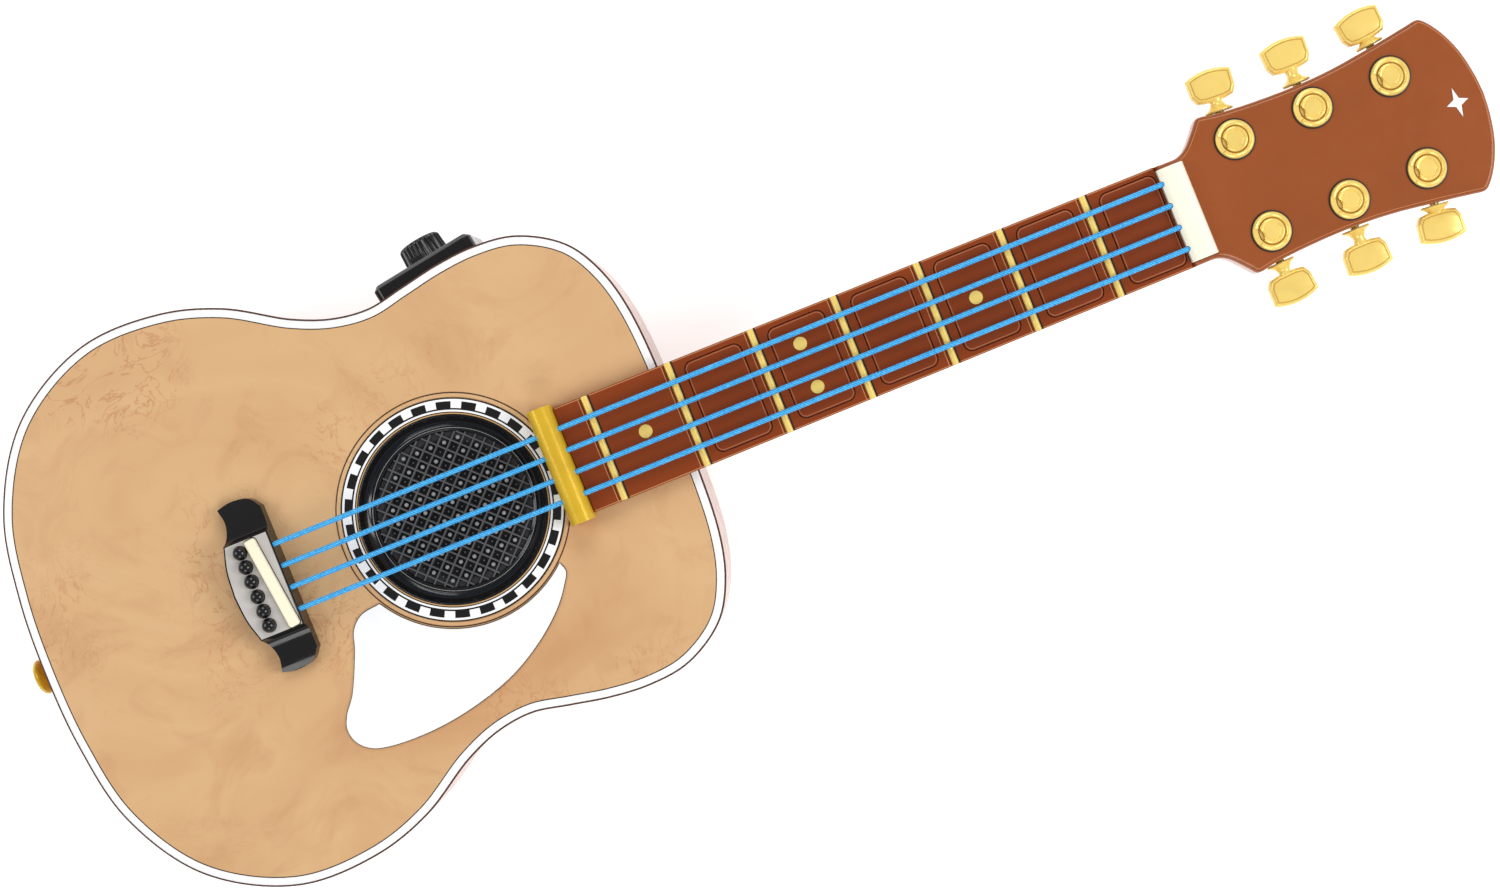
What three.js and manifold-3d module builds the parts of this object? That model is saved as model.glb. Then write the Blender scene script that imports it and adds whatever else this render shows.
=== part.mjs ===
// Toy guitar of acoustic shape with press keys, speaker and battery bay.
// Lengths are millimetres. X runs along the neck towards the headstock, Y across the strings and
// Z up out of the soundboard. The guitar lies on its back on Z = 0. In this file X is counted from
// the middle of the bridge; the finished group is shifted so that its length is centred on X = 0.

import * as THREE from "three";
import { mergeVertices } from "three/addons/utils/BufferGeometryUtils.js";
import Module from "manifold-3d";

const wasm = await Module();
wasm.setup();

// ---------------------------------------------------------------- driving dimensions

const BRIDGE_X = -235.35; // the bridge's middle in the finished frame
const GAP = 0.3; // clearance between pieces that are shaped to fit each other
const SLIP = 0.6; // clearance round a piece that moves

const SOUNDBOARD_TOP = 60;
const SOUNDBOARD_THICKNESS = 3;
const BINDING_WIDTH = 4.2;
const BINDING_TOP = 60.2;
const WALL = 2.5;
const OUTLINE_STEPS = 84;

// Soundboard edge from the tail's middle round one side to the neck end's middle.
const SOUNDBOARD_HALF = [
  [-103, 0], [-101.2, 36], [-93.8, 72.4], [-72, 106.8], [-36, 126.8], [0, 127.5], [27, 119.4], [54, 103.3],
  [72, 96.3], [90, 94.2], [108, 97.6], [126, 101.1], [144, 102.5], [162, 100.1], [180, 89.3], [189, 75],
  [194.6, 54], [196.7, 0],
];
const NECK_END = 200.9; // the body's outer end under the neck

const SOUND_HOLE = { x: 91.3, radius: 50, lip: 52.6, ledge: 46 };
const ROSETTE_INNER = 43.6;
const GRILLE = { radius: 43.2, field: 35.5, pitch: 14, hole: 6.2 };
const SPEAKER_RADIUS = 38;

const STRING_Y = [-15.5, -5.2, 5.2, 15.5];
const STRING_Z = 69.2;
const STRING_RADIUS = 1.2;

const BRIDGE = { top: 71, wingTop: 66, halfPlateau: 22.5, halfWing: 26, front: 13.2, frontTop: 13 };
const PIN = { x: -1.9, radius: 3.15, centreZ: 72.6, y: [-17.3, -10.5, -3.6, 3.6, 10.5, 17.3] };
const SADDLE = { x: 6.5, y: -0.25, width: 5.2, length: 43.5, top: 74.3, slantDeg: 6.8 };
const BAR = { x0: 139, x1: 150.3, halfLength: 27.2, bottom: 61.2, footX: 146, top: 74 };

const NECK_TOP = 60.2; // the neck shell's open face
const HEEL_BOTTOM = 18;
const FRETBOARD = { x0: 150.6, x1: 440, bottom: 60.5, top: 66, halfAtBody: 25.1, halfAtNut: 24.2 };
const FRET = { first: 165.3, spacing: 40.02, count: 7, width: 3.1, top: 67.4 };
const KEY = { length: 26.8, width: 43, corner: 3.6, top: 66.4, flangeTop: 63.2, bottom: 61.7, flange: 1.5 };
const NUT = { x0: 440.3, x1: 452.9, halfWidth: 22, top: 71.5 };

const HEAD = { bottom: 49, faceTop: 65, wall: 5, tip: 590.8 };
const POST_X = [478.9, 516.5, 553.9];
const POST = { y: 22.2, radius: 9, hole: 9.3, base: 60.5, capTop: 67.6 };
const TUNER_Z = 55.2;
const TUNERS = [
  { x: 477, fanDeg: 3, edge: 35.8 },
  { x: 516, fanDeg: 0, edge: 34.4 },
  { x: 557.2, fanDeg: -6, edge: 38.2 },
];
const PADDLE = { width: 21.3, inner: 41.5, outer: 56.5, thickness: 7 };

const CONTROL = { x: 118.5, y: 107.55, tiltDeg: 9.4, length: 51, height: 40, z: 32, thickness: 7 };
const KNOB = { along: 1, z: 27, radius: 10.7, height: 10.8 };
const SLIDER = { along: -1.5, z: 44, width: 6.2, height: 3.2, travel: 6 };

const BAY = { x0: -46, x1: 28, halfWidth: 26.5, roof: 22.5, wall: 2 };
const DOOR = { z0: 0.6, z1: 2.6 };
const CELL = { length: 50.5, radius: 7.1, x0: -42, z: 12.4, pitch: 15.4 };

// ---------------------------------------------------------------- materials

function material(colour, roughness, metalness = 0) {
  return new THREE.MeshStandardMaterial({ color: colour, roughness, metalness });
}

const MATERIALS = {
  brown: material(0x93502b, 0.22),
  keyBrown: material(0x70381f, 0.25),
  tan: material(0xdcb07e, 0.3),
  white: material(0xf6f7f7, 0.25),
  black: material(0x17171a, 0.25),
  grey: material(0xbeb8b2, 0.4, 0.3),
  cream: material(0xfdf2d4, 0.3),
  blue: material(0x2f93dc, 0.6),
  gold: material(0xdcba58, 0.22, 0.9),
  rubber: material(0x9a9a94, 0.9),
  board: material(0x1f5c3a, 0.5),
  steel: material(0xb4b6b8, 0.3, 1),
  cell: material(0x3c3f45, 0.4),
  cone: material(0x26262a, 0.8),
};

// ---------------------------------------------------------------- solid-making helpers

// A closed solid from any geometry: shared vertices are merged, slivers dropped, faces turned out.
function solid(geometry) {
  const bare = geometry.clone();
  bare.deleteAttribute("normal");
  bare.deleteAttribute("uv");
  const merged = mergeVertices(bare, 1e-4);
  const position = merged.attributes.position;
  const index = merged.index.array;
  const triangles = [];
  let volume = 0;
  const corner = [new THREE.Vector3(), new THREE.Vector3(), new THREE.Vector3()];
  for (let i = 0; i < index.length; i += 3) {
    const [a, b, c] = [index[i], index[i + 1], index[i + 2]];
    if (a === b || b === c || c === a) continue;
    triangles.push(a, b, c);
    corner.forEach((point, k) => point.fromBufferAttribute(position, index[i + k]));
    volume += corner[0].dot(corner[1].cross(corner[2]));
  }
  if (volume < 0) triangles.reverse();
  return new wasm.Manifold(new wasm.Mesh({
    numProp: 3,
    vertProperties: new Float32Array(position.array),
    triVerts: new Uint32Array(triangles),
  }));
}

function geometryOf(body) {
  const mesh = body.getMesh();
  const geometry = new THREE.BufferGeometry();
  geometry.setAttribute("position", new THREE.BufferAttribute(new Float32Array(mesh.vertProperties), 3));
  geometry.setIndex(new THREE.BufferAttribute(new Uint32Array(mesh.triVerts), 1));
  return geometry;
}

function join(first, ...others) {
  return others.reduce((body, other) => body.add(other), first);
}

function cut(first, ...tools) {
  return tools.reduce((body, tool) => body.subtract(tool), first);
}

function box(x0, x1, y0, y1, z0, z1) {
  const geometry = new THREE.BoxGeometry(x1 - x0, y1 - y0, z1 - z0);
  geometry.translate((x0 + x1) / 2, (y0 + y1) / 2, (z0 + z1) / 2);
  return solid(geometry);
}

// Upright cylinder, or cone when topRadius differs.
function post(x, y, radius, z0, z1, segments = 24, topRadius = radius) {
  const geometry = new THREE.CylinderGeometry(topRadius, radius, z1 - z0, segments);
  geometry.rotateX(Math.PI / 2);
  geometry.translate(x, y, (z0 + z1) / 2);
  return solid(geometry);
}

// Round piece on the Z axis; the profile is [radius, z] from the axis at the bottom to the top.
function turned(profile, segments) {
  const points = profile.map(([radius, z]) => new THREE.Vector2(radius, z));
  return new THREE.LatheGeometry(points, segments).rotateX(Math.PI / 2);
}

// Closed solid through rings of equal point count; place puts a flat point at its ring's station.
function loft(rings, place) {
  const clockwise = THREE.ShapeUtils.isClockWise(rings[0].points);
  const loops = rings.map((ring) => (clockwise ? [...ring.points].reverse() : ring.points));
  const count = loops[0].length;
  const positions = [];
  const index = [];
  loops.forEach((loop, r) => loop.forEach((point) => positions.push(...place(point, rings[r].at))));
  for (let r = 0; r + 1 < rings.length; r += 1) {
    for (let i = 0; i < count; i += 1) {
      const a = r * count + i;
      const b = r * count + ((i + 1) % count);
      index.push(a, b, b + count, a, b + count, a + count);
    }
  }
  const last = (rings.length - 1) * count;
  for (const [a, b, c] of THREE.ShapeUtils.triangulateShape(loops[0], [])) index.push(c, b, a);
  for (const [a, b, c] of THREE.ShapeUtils.triangulateShape(loops[rings.length - 1], [])) {
    index.push(last + a, last + b, last + c);
  }
  const geometry = new THREE.BufferGeometry();
  geometry.setAttribute("position", new THREE.Float32BufferAttribute(positions, 3));
  geometry.setIndex(index);
  return solid(geometry);
}

const upward = (point, z) => [point.x, point.y, z];
const alongNeck = (point, x) => [x, point.x, point.y];
const acrossNeck = (point, y) => [point.x, y, point.y];

function prism(points, z0, z1) {
  return loft([{ at: z0, points }, { at: z1, points }], upward);
}

// The outline moved outwards by a distance, along the mean normal at each point.
function offset(points, distance) {
  return points.map((point, i) => {
    const before = points[(i + points.length - 1) % points.length];
    const after = points[(i + 1) % points.length];
    const along = new THREE.Vector2().subVectors(after, before).normalize();
    return new THREE.Vector2(point.x + along.y * distance, point.y - along.x * distance);
  });
}

// Mirrors a half outline given from low X to high X on +Y into a full one, anticlockwise.
function mirrored(half) {
  const lower = half.map(([x, y]) => new THREE.Vector2(x, -y));
  const upper = half.filter(([, y]) => y > 0).reverse().map(([x, y]) => new THREE.Vector2(x, y));
  return lower.concat(upper);
}

function smoothLoop(corners, steps) {
  const curve = new THREE.CatmullRomCurve3(corners.map((p) => new THREE.Vector3(p.x, p.y, 0)), true);
  return curve.getSpacedPoints(steps).slice(0, steps).map((p) => new THREE.Vector2(p.x, p.y));
}

function roundedRectangle(x, y, length, width, radius, arcSteps = 4) {
  const points = [];
  const corners = [[1, -1, -90], [1, 1, 0], [-1, 1, 90], [-1, -1, 180]];
  for (const [sx, sy, start] of corners) {
    for (let i = 0; i <= arcSteps; i += 1) {
      const angle = THREE.MathUtils.degToRad(start + (90 * i) / arcSteps);
      const cx = x + sx * (length / 2 - radius);
      const cy = y + sy * (width / 2 - radius);
      points.push(new THREE.Vector2(cx + radius * Math.cos(angle), cy + radius * Math.sin(angle)));
    }
  }
  return points;
}

const guitar = new THREE.Group();
guitar.name = "toy_guitar";
guitar.position.x = BRIDGE_X;

function add(name, geometry, finish, parent = guitar) {
  const mesh = new THREE.Mesh(geometry, finish);
  mesh.name = name;
  parent.add(mesh);
  return mesh;
}

// ---------------------------------------------------------------- body

const soundboardEdge = smoothLoop(mirrored(SOUNDBOARD_HALF), OUTLINE_STEPS);

function controlFrame() {
  const frame = new THREE.Group();
  frame.position.set(CONTROL.x, CONTROL.y, 0);
  frame.rotation.z = THREE.MathUtils.degToRad(CONTROL.tiltDeg);
  frame.updateMatrix();
  return frame;
}

// Hole along the control plate's own normal, in the guitar's coordinates.
function controlDrill(along, z, radius, depth) {
  const geometry = new THREE.CylinderGeometry(radius, radius, depth, 20);
  geometry.translate(along, 0, z);
  return solid(geometry.applyMatrix4(controlFrame().matrix));
}

function controlSlot(along, z, length, height, depth) {
  const geometry = new THREE.BoxGeometry(length, depth, height);
  geometry.translate(along, 0, z);
  return solid(geometry.applyMatrix4(controlFrame().matrix));
}

function outerBody(extra = 0) {
  return loft([
    { at: 0, points: offset(soundboardEdge, 0.8 + extra) },
    { at: 3, points: offset(soundboardEdge, 3.4 + extra) },
    { at: 55, points: offset(soundboardEdge, BINDING_WIDTH + extra) },
  ], upward);
}

function backShell() {
  const seat = prism(soundboardEdge, 54, SOUNDBOARD_TOP - SOUNDBOARD_THICKNESS);
  const inside = loft([
    { at: WALL, points: offset(soundboardEdge, 0.4) },
    { at: 49, points: offset(soundboardEdge, BINDING_WIDTH - WALL) },
    { at: 52, points: offset(soundboardEdge, -3) },
    { at: 58, points: offset(soundboardEdge, -3) },
  ], upward);
  const bayBox = box(BAY.x0 - BAY.wall, BAY.x1 + BAY.wall, -BAY.halfWidth - BAY.wall,
    BAY.halfWidth + BAY.wall, WALL - 0.5, BAY.roof);
  const bayInside = box(BAY.x0, BAY.x1, -BAY.halfWidth, BAY.halfWidth, -1, BAY.roof - BAY.wall);
  const screwBoss = cut(post(19.5, 0, 4.5, 3.2, BAY.roof - 1), post(19.5, 0, 2.2, 2, 16));
  const boardPosts = [[62, -22], [62, 22], [118, -22], [118, 22]].map(([x, y]) => post(x, y, 3, 2, 9, 10));
  const neckSocket = box(185, 210, -18.3, 18.3, 19.7, 50.3);
  const shell = cut(join(outerBody(), seat), inside);
  return cut(join(cut(join(shell, bayBox), bayInside), screwBoss, ...boardPosts), neckSocket,
    controlDrill(KNOB.along, KNOB.z, 3.6, 30),
    controlSlot(SLIDER.along + SLIDER.travel / 2, SLIDER.z, 16, 4.5, 30));
}

function ring(outer, inner, z0, z1, segments) {
  const x = SOUND_HOLE.x;
  return cut(post(x, 0, outer, z0, z1, segments), post(x, 0, inner, z0 - 1, z1 + 1, segments));
}

function soundboard() {
  const underside = SOUNDBOARD_TOP - SOUNDBOARD_THICKNESS;
  const plate = prism(offset(soundboardEdge, -GAP), underside, SOUNDBOARD_TOP);
  const lip = post(SOUND_HOLE.x, 0, SOUND_HOLE.lip, SOUNDBOARD_TOP - 1, SOUNDBOARD_TOP + 1, 48);
  const well = post(SOUND_HOLE.x, 0, SOUND_HOLE.radius + GAP, SOUNDBOARD_TOP - 1.7, SOUNDBOARD_TOP + 2, 48);
  const opening = post(SOUND_HOLE.x, 0, SOUND_HOLE.ledge, underside - 1, SOUNDBOARD_TOP, 48);
  return cut(join(plate, lip), well, opening);
}

function binding() {
  const outer = offset(soundboardEdge, BINDING_WIDTH);
  return cut(
    loft([
      { at: 55.1, points: outer },
      { at: BINDING_TOP - 0.8, points: outer },
      { at: BINDING_TOP, points: offset(soundboardEdge, BINDING_WIDTH - 0.8) },
    ], upward),
    prism(offset(soundboardEdge, GAP / 3), 50, 65),
  );
}

function grille() {
  const x = SOUND_HOLE.x;
  const rim = ring(GRILLE.radius, 38.5, 57.2, SOUNDBOARD_TOP + 0.4, 36);
  const flange = ring(45, 38.5, 54.6, 56.7, 36);
  const neck = ring(GRILLE.radius, 38.5, 54.6, 58, 36);
  const plate = post(x, 0, 39, 56, 58.4, 36);
  const holes = [];
  const reach = Math.ceil(GRILLE.field / GRILLE.pitch);
  for (let i = -reach; i <= reach; i += 1) {
    for (let j = -reach; j <= reach; j += 1) {
      const px = (i + j) * (GRILLE.pitch / 2);
      const py = (i - j) * (GRILLE.pitch / 2);
      if (Math.hypot(px, py) + GRILLE.hole < GRILLE.field) holes.push(post(x + px, py, GRILLE.hole, 50, 65, 4));
    }
  }
  return cut(join(rim, flange, neck, plate), ...holes);
}

function speakerDriver() {
  return turned([
    [0, 26], [16, 26], [16, 36], [21, 37], [35, 50], [SPEAKER_RADIUS, 51.5], [SPEAKER_RADIUS, 54.3],
    [33, 54.3], [12, 44], [0, 46],
  ], 18).translate(SOUND_HOLE.x, 0, 0);
}

function pickguard() {
  const outer = [
    [27, -41.3], [23.3, -50], [17.8, -60.8], [12.4, -68], [10.2, -74], [11.7, -80.6], [16.7, -85.5],
    [24.3, -87.9], [44.1, -88.8], [65.7, -86], [87.6, -79.4], [105.1, -69.6], [118.2, -58.7], [125.1, -50],
    [128, -44.6],
  ].map(([x, y]) => new THREE.Vector2(x, y));
  const points = [new THREE.Vector2(35.1, -28.2), new THREE.Vector2(29.7, -33.6), ...outer];
  const start = Math.atan2(-40.1, 126.9 - SOUND_HOLE.x);
  const end = Math.atan2(-26.6, 45 - SOUND_HOLE.x);
  const arcSteps = 10;
  for (let i = 0; i <= arcSteps; i += 1) {
    const angle = start + ((end - start) * i) / arcSteps;
    points.push(new THREE.Vector2(SOUND_HOLE.x + 53.6 * Math.cos(angle), 53.6 * Math.sin(angle)));
  }
  const inset = offset(points, -0.5);
  return loft([
    { at: SOUNDBOARD_TOP, points },
    { at: SOUNDBOARD_TOP + 0.7, points },
    { at: SOUNDBOARD_TOP + 1.2, points: inset },
  ], upward);
}

// ---------------------------------------------------------------- bridge

function bridgeOutline(front, inset) {
  const arc = new THREE.QuadraticBezierCurve(
    new THREE.Vector2(-12.6 + inset, 0), new THREE.Vector2(-12.3 + inset, 14), new THREE.Vector2(-8.6 + inset, 22.5));
  const bulge = arc.getPoints(5).map((p) => [p.x, p.y]);
  const wing = [
    [-6.9 + inset, 26], [-5.4 + inset, 33], [-6.2 + inset, 39.2 - inset], [0.6, 40.5 - inset],
    [9.7, 38.4 - inset], [front, 34 - inset], [front, 0],
  ];
  return mirrored([...bulge, ...wing]);
}

function bridge() {
  const block = loft([
    { at: SOUNDBOARD_TOP, points: bridgeOutline(BRIDGE.front, 0) },
    { at: BRIDGE.top, points: bridgeOutline(BRIDGE.frontTop, 0.8) },
  ], upward);
  const shoulders = [1, -1].map((side) => {
    const profile = [
      [BRIDGE.halfPlateau, BRIDGE.top], [BRIDGE.halfWing, BRIDGE.wingTop], [45, BRIDGE.wingTop],
      [45, 75], [BRIDGE.halfPlateau, 75],
    ].map(([y, z]) => new THREE.Vector2(y * side, z));
    return loft([{ at: -20, points: profile }, { at: 20, points: profile }], alongNeck);
  });
  const stripSlot = box(PIN.x - 2.6, PIN.x + 2.6, -20.4, 20.4, 68.9, 75);
  const stringHoles = STRING_Y.map((y) => stringTube(y, STRING_RADIUS + GAP, 6.9, 20));
  return cut(block, ...shoulders, stripSlot, ...stringHoles);
}

function saddleBlank(grow, z0, z1) {
  const points = roundedRectangle(0, 0, SADDLE.width + 2 * grow, SADDLE.length + 2 * grow, 1 + grow, 2);
  const slant = THREE.MathUtils.degToRad(SADDLE.slantDeg);
  points.forEach((point) => point.rotateAround(new THREE.Vector2(), slant));
  points.forEach((point) => point.add(new THREE.Vector2(SADDLE.x, SADDLE.y)));
  return prism(points, z0, z1);
}

function bridgePlate() {
  const arc = new THREE.QuadraticBezierCurve(
    new THREE.Vector2(-11.4, 0), new THREE.Vector2(-11.1, 14), new THREE.Vector2(-7.6, 22.2));
  const outline = mirrored([...arc.getPoints(5).map((p) => [p.x, p.y]), [12.3, 22.2], [12.3, 0]]);
  const pinHoles = PIN.y.map((y) => post(PIN.x, y, PIN.radius + GAP, 70, 73, 10));
  return cut(prism(outline, BRIDGE.top, BRIDGE.top + 0.9), saddleBlank(0.4, 70, 73), ...pinHoles);
}

function saddle() {
  return saddleBlank(0, BRIDGE.top, SADDLE.top);
}

function bridgePins() {
  const strip = box(PIN.x - 2.3, PIN.x + 2.3, -20, 20, 69, 70.9);
  const balls = PIN.y.map((y) => {
    const ball = new THREE.SphereGeometry(PIN.radius, 8, 5);
    ball.rotateX(Math.PI / 2);
    ball.translate(PIN.x, y, PIN.centreZ);
    return solid(ball);
  });
  return join(strip, ...balls);
}

// ---------------------------------------------------------------- strings and gold bar

function stringTube(y, radius, x0, x1) {
  const section = new THREE.Shape().absarc(0, 0, radius, 0, 2 * Math.PI);
  const path = new THREE.LineCurve3(new THREE.Vector3(x0, y, STRING_Z), new THREE.Vector3(x1, y, STRING_Z));
  return solid(new THREE.ExtrudeGeometry(section, { extrudePath: path, steps: 1, curveSegments: 8 }));
}

function stringBar() {
  const middle = (BAR.x0 + BAR.x1) / 2;
  const radius = (BAR.x1 - BAR.x0) / 2;
  const profile = [[BAR.x0, BAR.bottom], [BAR.footX, BAR.bottom], [BAR.footX, SOUNDBOARD_TOP], [BAR.x1, SOUNDBOARD_TOP]]
    .map(([x, z]) => new THREE.Vector2(x, z));
  for (let i = 0; i <= 10; i += 1) {
    const angle = (Math.PI * i) / 10;
    profile.push(new THREE.Vector2(middle + radius * Math.cos(angle), BAR.top - radius * (1 - Math.sin(angle))));
  }
  const rod = loft([{ at: -BAR.halfLength, points: profile }, { at: BAR.halfLength, points: profile }], acrossNeck);
  return cut(rod, ...STRING_Y.map((y) => stringTube(y, STRING_RADIUS + GAP, 130, 160)));
}

// ---------------------------------------------------------------- neck, fretboard and press keys

const fretX = (i) => FRET.first + FRET.spacing * i;
const keyX = (i) => fretX(i) + FRET.spacing / 2;

function halfNeck(x) {
  const along = (x - FRETBOARD.x0) / (FRETBOARD.x1 - FRETBOARD.x0);
  return THREE.MathUtils.lerp(FRETBOARD.halfAtBody, FRETBOARD.halfAtNut, along);
}

function neckSection(x, bottom) {
  const points = [];
  for (let i = 0; i <= 10; i += 1) {
    const angle = Math.PI + (Math.PI * i) / 10;
    const depth = Math.abs(Math.sin(angle)) ** 0.8 * (NECK_TOP - bottom);
    points.push(new THREE.Vector2(halfNeck(x) * Math.cos(angle), NECK_TOP - depth));
  }
  return { at: x, points };
}

const HEAD_HALF = [
  [445, 24.1], [451.8, 24.1], [456.5, 26.5], [463.1, 33.5], [466.4, 37.4], [475.7, 36], [492.8, 34.7], [513, 34.2],
  [530.1, 35.1], [551.7, 37.8], [568.4, 40.5], [576, 41.2], [581.9, 34.1], [587.3, 22.3], [590.4, 9], [HEAD.tip, 0],
];

function headOutline(from) {
  const half = HEAD_HALF.filter(([x]) => x >= from);
  return mirrored([[from, 24.1], ...half.filter(([x]) => x > from)]);
}

function tunerFrame(tuner, side) {
  const frame = new THREE.Group();
  frame.position.set(tuner.x, 0, TUNER_Z);
  frame.rotation.z = side > 0 ? THREE.MathUtils.degToRad(-tuner.fanDeg)
    : Math.PI + THREE.MathUtils.degToRad(tuner.fanDeg);
  frame.updateMatrix();
  return frame;
}

// Round rod along a tuner's own +Y axis, between two distances from the neck's middle.
function tunerRod(tuner, side, radius, from, to, segments, farRadius = radius) {
  const geometry = new THREE.CylinderGeometry(farRadius, radius, to - from, segments);
  geometry.translate(0, (from + to) / 2, 0);
  return solid(geometry.applyMatrix4(tunerFrame(tuner, side).matrix));
}

function neckShell() {
  const neck = loft([
    neckSection(NECK_END + GAP, HEEL_BOTTOM), neckSection(217, HEEL_BOTTOM), neckSection(221, 28), neckSection(228, 37),
    neckSection(238, 43.5), neckSection(254, 45.6), neckSection(340, 46), neckSection(438, 47), neckSection(455, 49),
  ], alongNeck);
  const tenon = box(188, 205, -18, 18, 20, 50);
  const outline = headOutline(446);
  const head = loft([
    { at: HEAD.bottom, points: offset(outline, -1.5) },
    { at: HEAD.bottom + 1.5, points: outline },
    { at: NECK_TOP, points: outline },
  ], upward);
  const wireWay = box(214, 470, -9, 9, 50.2, 62);
  const stripBed = box(210, 444, -19.5, 19.5, 55.8, 62);
  const pocket = prism(offset(headOutline(462), -HEAD.wall), 51.5, 62);
  const sides = [1, -1];
  const bosses = POST_X.flatMap((x) => sides.map((side) => post(x, side * POST.y, 6, 50, NECK_TOP, 10)));
  const bores = TUNERS.flatMap((tuner) => sides.map((side) => tunerRod(tuner, side, 2.6, 29.5, 60, 10)));
  return cut(join(cut(join(neck, tenon, head), wireWay, stripBed, pocket), ...bosses), ...bores);
}

function fretboard() {
  const { x0, x1, bottom, top } = FRETBOARD;
  const outline = [[x0, -1], [x1, -1], [x1, 1], [x0, 1]].map(([x, s]) => new THREE.Vector2(x, s * halfNeck(x)));
  const openings = [];
  for (let i = 1; i < FRET.count; i += 1) {
    const x = keyX(i);
    const length = KEY.length + 2 * SLIP;
    const width = KEY.width + 2 * SLIP;
    const pocketHalf = length / 2 + KEY.flange;
    openings.push(prism(roundedRectangle(x, 0, length, width, KEY.corner + SLIP), 50, 70));
    openings.push(box(x - pocketHalf, Math.min(x + pocketHalf, x1 - 0.01), -width / 2, width / 2, 50, KEY.flangeTop + GAP));
  }
  return cut(prism(outline, bottom, top), ...openings);
}

function fret(i) {
  const x = fretX(i);
  const profile = [[-1.55, FRETBOARD.top], [1.55, FRETBOARD.top], [1.25, 67], [0.6, FRET.top], [-0.6, FRET.top], [-1.25, 67]]
    .map(([dx, z]) => new THREE.Vector2(x + dx, z));
  const half = halfNeck(x) - 0.1;
  return geometryOf(loft([{ at: -half, points: profile }, { at: half, points: profile }], acrossNeck));
}

function fretKey(i) {
  const cap = prism(roundedRectangle(0, 0, KEY.length, KEY.width, KEY.corner), KEY.flangeTop - 0.5, KEY.top);
  const longEnd = KEY.length / 2 + KEY.flange;
  const farEnd = i === FRET.count - 1 ? KEY.length / 2 - 1 : longEnd;
  const base = box(-longEnd, farEnd, -KEY.width / 2, KEY.width / 2, KEY.bottom, KEY.flangeTop);
  const hollow = box(-11, 11, -18, 18, KEY.bottom - 1, KEY.top - 1.8);
  const plunger = post(0, 0, 4, KEY.bottom, KEY.top - 1, 12);
  return join(cut(join(cap, base), hollow), plunger).translate([keyX(i), 0, 0]);
}

function keyPadStrip() {
  const strip = box(216, 442, -18, 18, 57.3, 58.3);
  const domes = [];
  for (let i = 1; i < FRET.count; i += 1) domes.push(post(keyX(i), 0, 6, 58, 59.9, 8, 4));
  return join(strip, ...domes);
}

function nut() {
  const profile = [
    [NUT.x0, NECK_TOP], [NUT.x1, NECK_TOP], [NUT.x1, 69], [NUT.x1 - 1.5, 70.8], [NUT.x1 - 4, NUT.top],
    [NUT.x0 + 3, NUT.top], [NUT.x0 + 0.8, 70.8], [NUT.x0, 69.8],
  ].map(([x, z]) => new THREE.Vector2(x, z));
  const bar = loft([{ at: -NUT.halfWidth, points: profile }, { at: NUT.halfWidth, points: profile }], acrossNeck);
  return cut(bar, ...STRING_Y.map((y) => stringTube(y, STRING_RADIUS + GAP, 430, 446.3)));
}

// ---------------------------------------------------------------- headstock and tuners

function headstockFace() {
  const outline = headOutline(NUT.x0);
  const plate = loft([
    { at: FRETBOARD.bottom, points: outline },
    { at: HEAD.faceTop - 1.2, points: outline },
    { at: HEAD.faceTop, points: offset(outline, -1.2) },
  ], upward);
  const nutSlot = box(430, NUT.x1 + GAP, -NUT.halfWidth - GAP, NUT.halfWidth + GAP, 50, 80);
  const postHoles = POST_X.flatMap((x) => [1, -1].map((side) => post(x, side * POST.y, POST.hole, 50, 80, 20)));
  return cut(plate, nutSlot, ...postHoles);
}

function headstockInlay() {
  const points = [];
  for (let i = 0; i < 8; i += 1) {
    const reach = i % 2 === 0 ? 7 : 2.6;
    const angle = (Math.PI * i) / 4;
    points.push(new THREE.Vector2(577 + reach * Math.cos(angle) * 0.75, reach * Math.sin(angle)));
  }
  return prism(points, HEAD.faceTop, HEAD.faceTop + 0.6);
}

function tunerPost(x, side) {
  return turned([
    [0, POST.base], [POST.radius, POST.base], [POST.radius, 66.4], [8.2, POST.capTop - 0.4], [6.4, 66.6],
    [5.8, POST.capTop], [0, POST.capTop],
  ], 16).translate(x, side * POST.y, 0);
}

function tunerKey(tuner, side) {
  const half = PADDLE.width / 2;
  const outline = [
    [-4, PADDLE.inner], [4, PADDLE.inner], [half - 0.6, PADDLE.inner + 4.5], [half, PADDLE.outer - 2.5],
    [half - 1.5, PADDLE.outer - 0.7], [0, PADDLE.outer + 0.3], [1.5 - half, PADDLE.outer - 0.7],
    [-half, PADDLE.outer - 2.5], [0.6 - half, PADDLE.inner + 4.5],
  ].map(([x, y]) => new THREE.Vector2(x, y));
  const z = PADDLE.thickness / 2;
  const paddle = loft([
    { at: -z, points: offset(outline, -1.6) },
    { at: 1.4 - z, points: outline },
    { at: z - 1.4, points: outline },
    { at: z, points: offset(outline, -1.6) },
  ], upward).transform(tunerFrame(tuner, side).matrix.toArray());
  return join(paddle,
    tunerRod(tuner, side, 2.1, 30, PADDLE.inner + 2, 10),
    tunerRod(tuner, side, 6.4, tuner.edge + 1.1, tuner.edge + 2.3, 12),
    tunerRod(tuner, side, 6, tuner.edge + 2.2, PADDLE.inner + 1, 12, 3.4));
}

// ---------------------------------------------------------------- controls on the side wall

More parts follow.
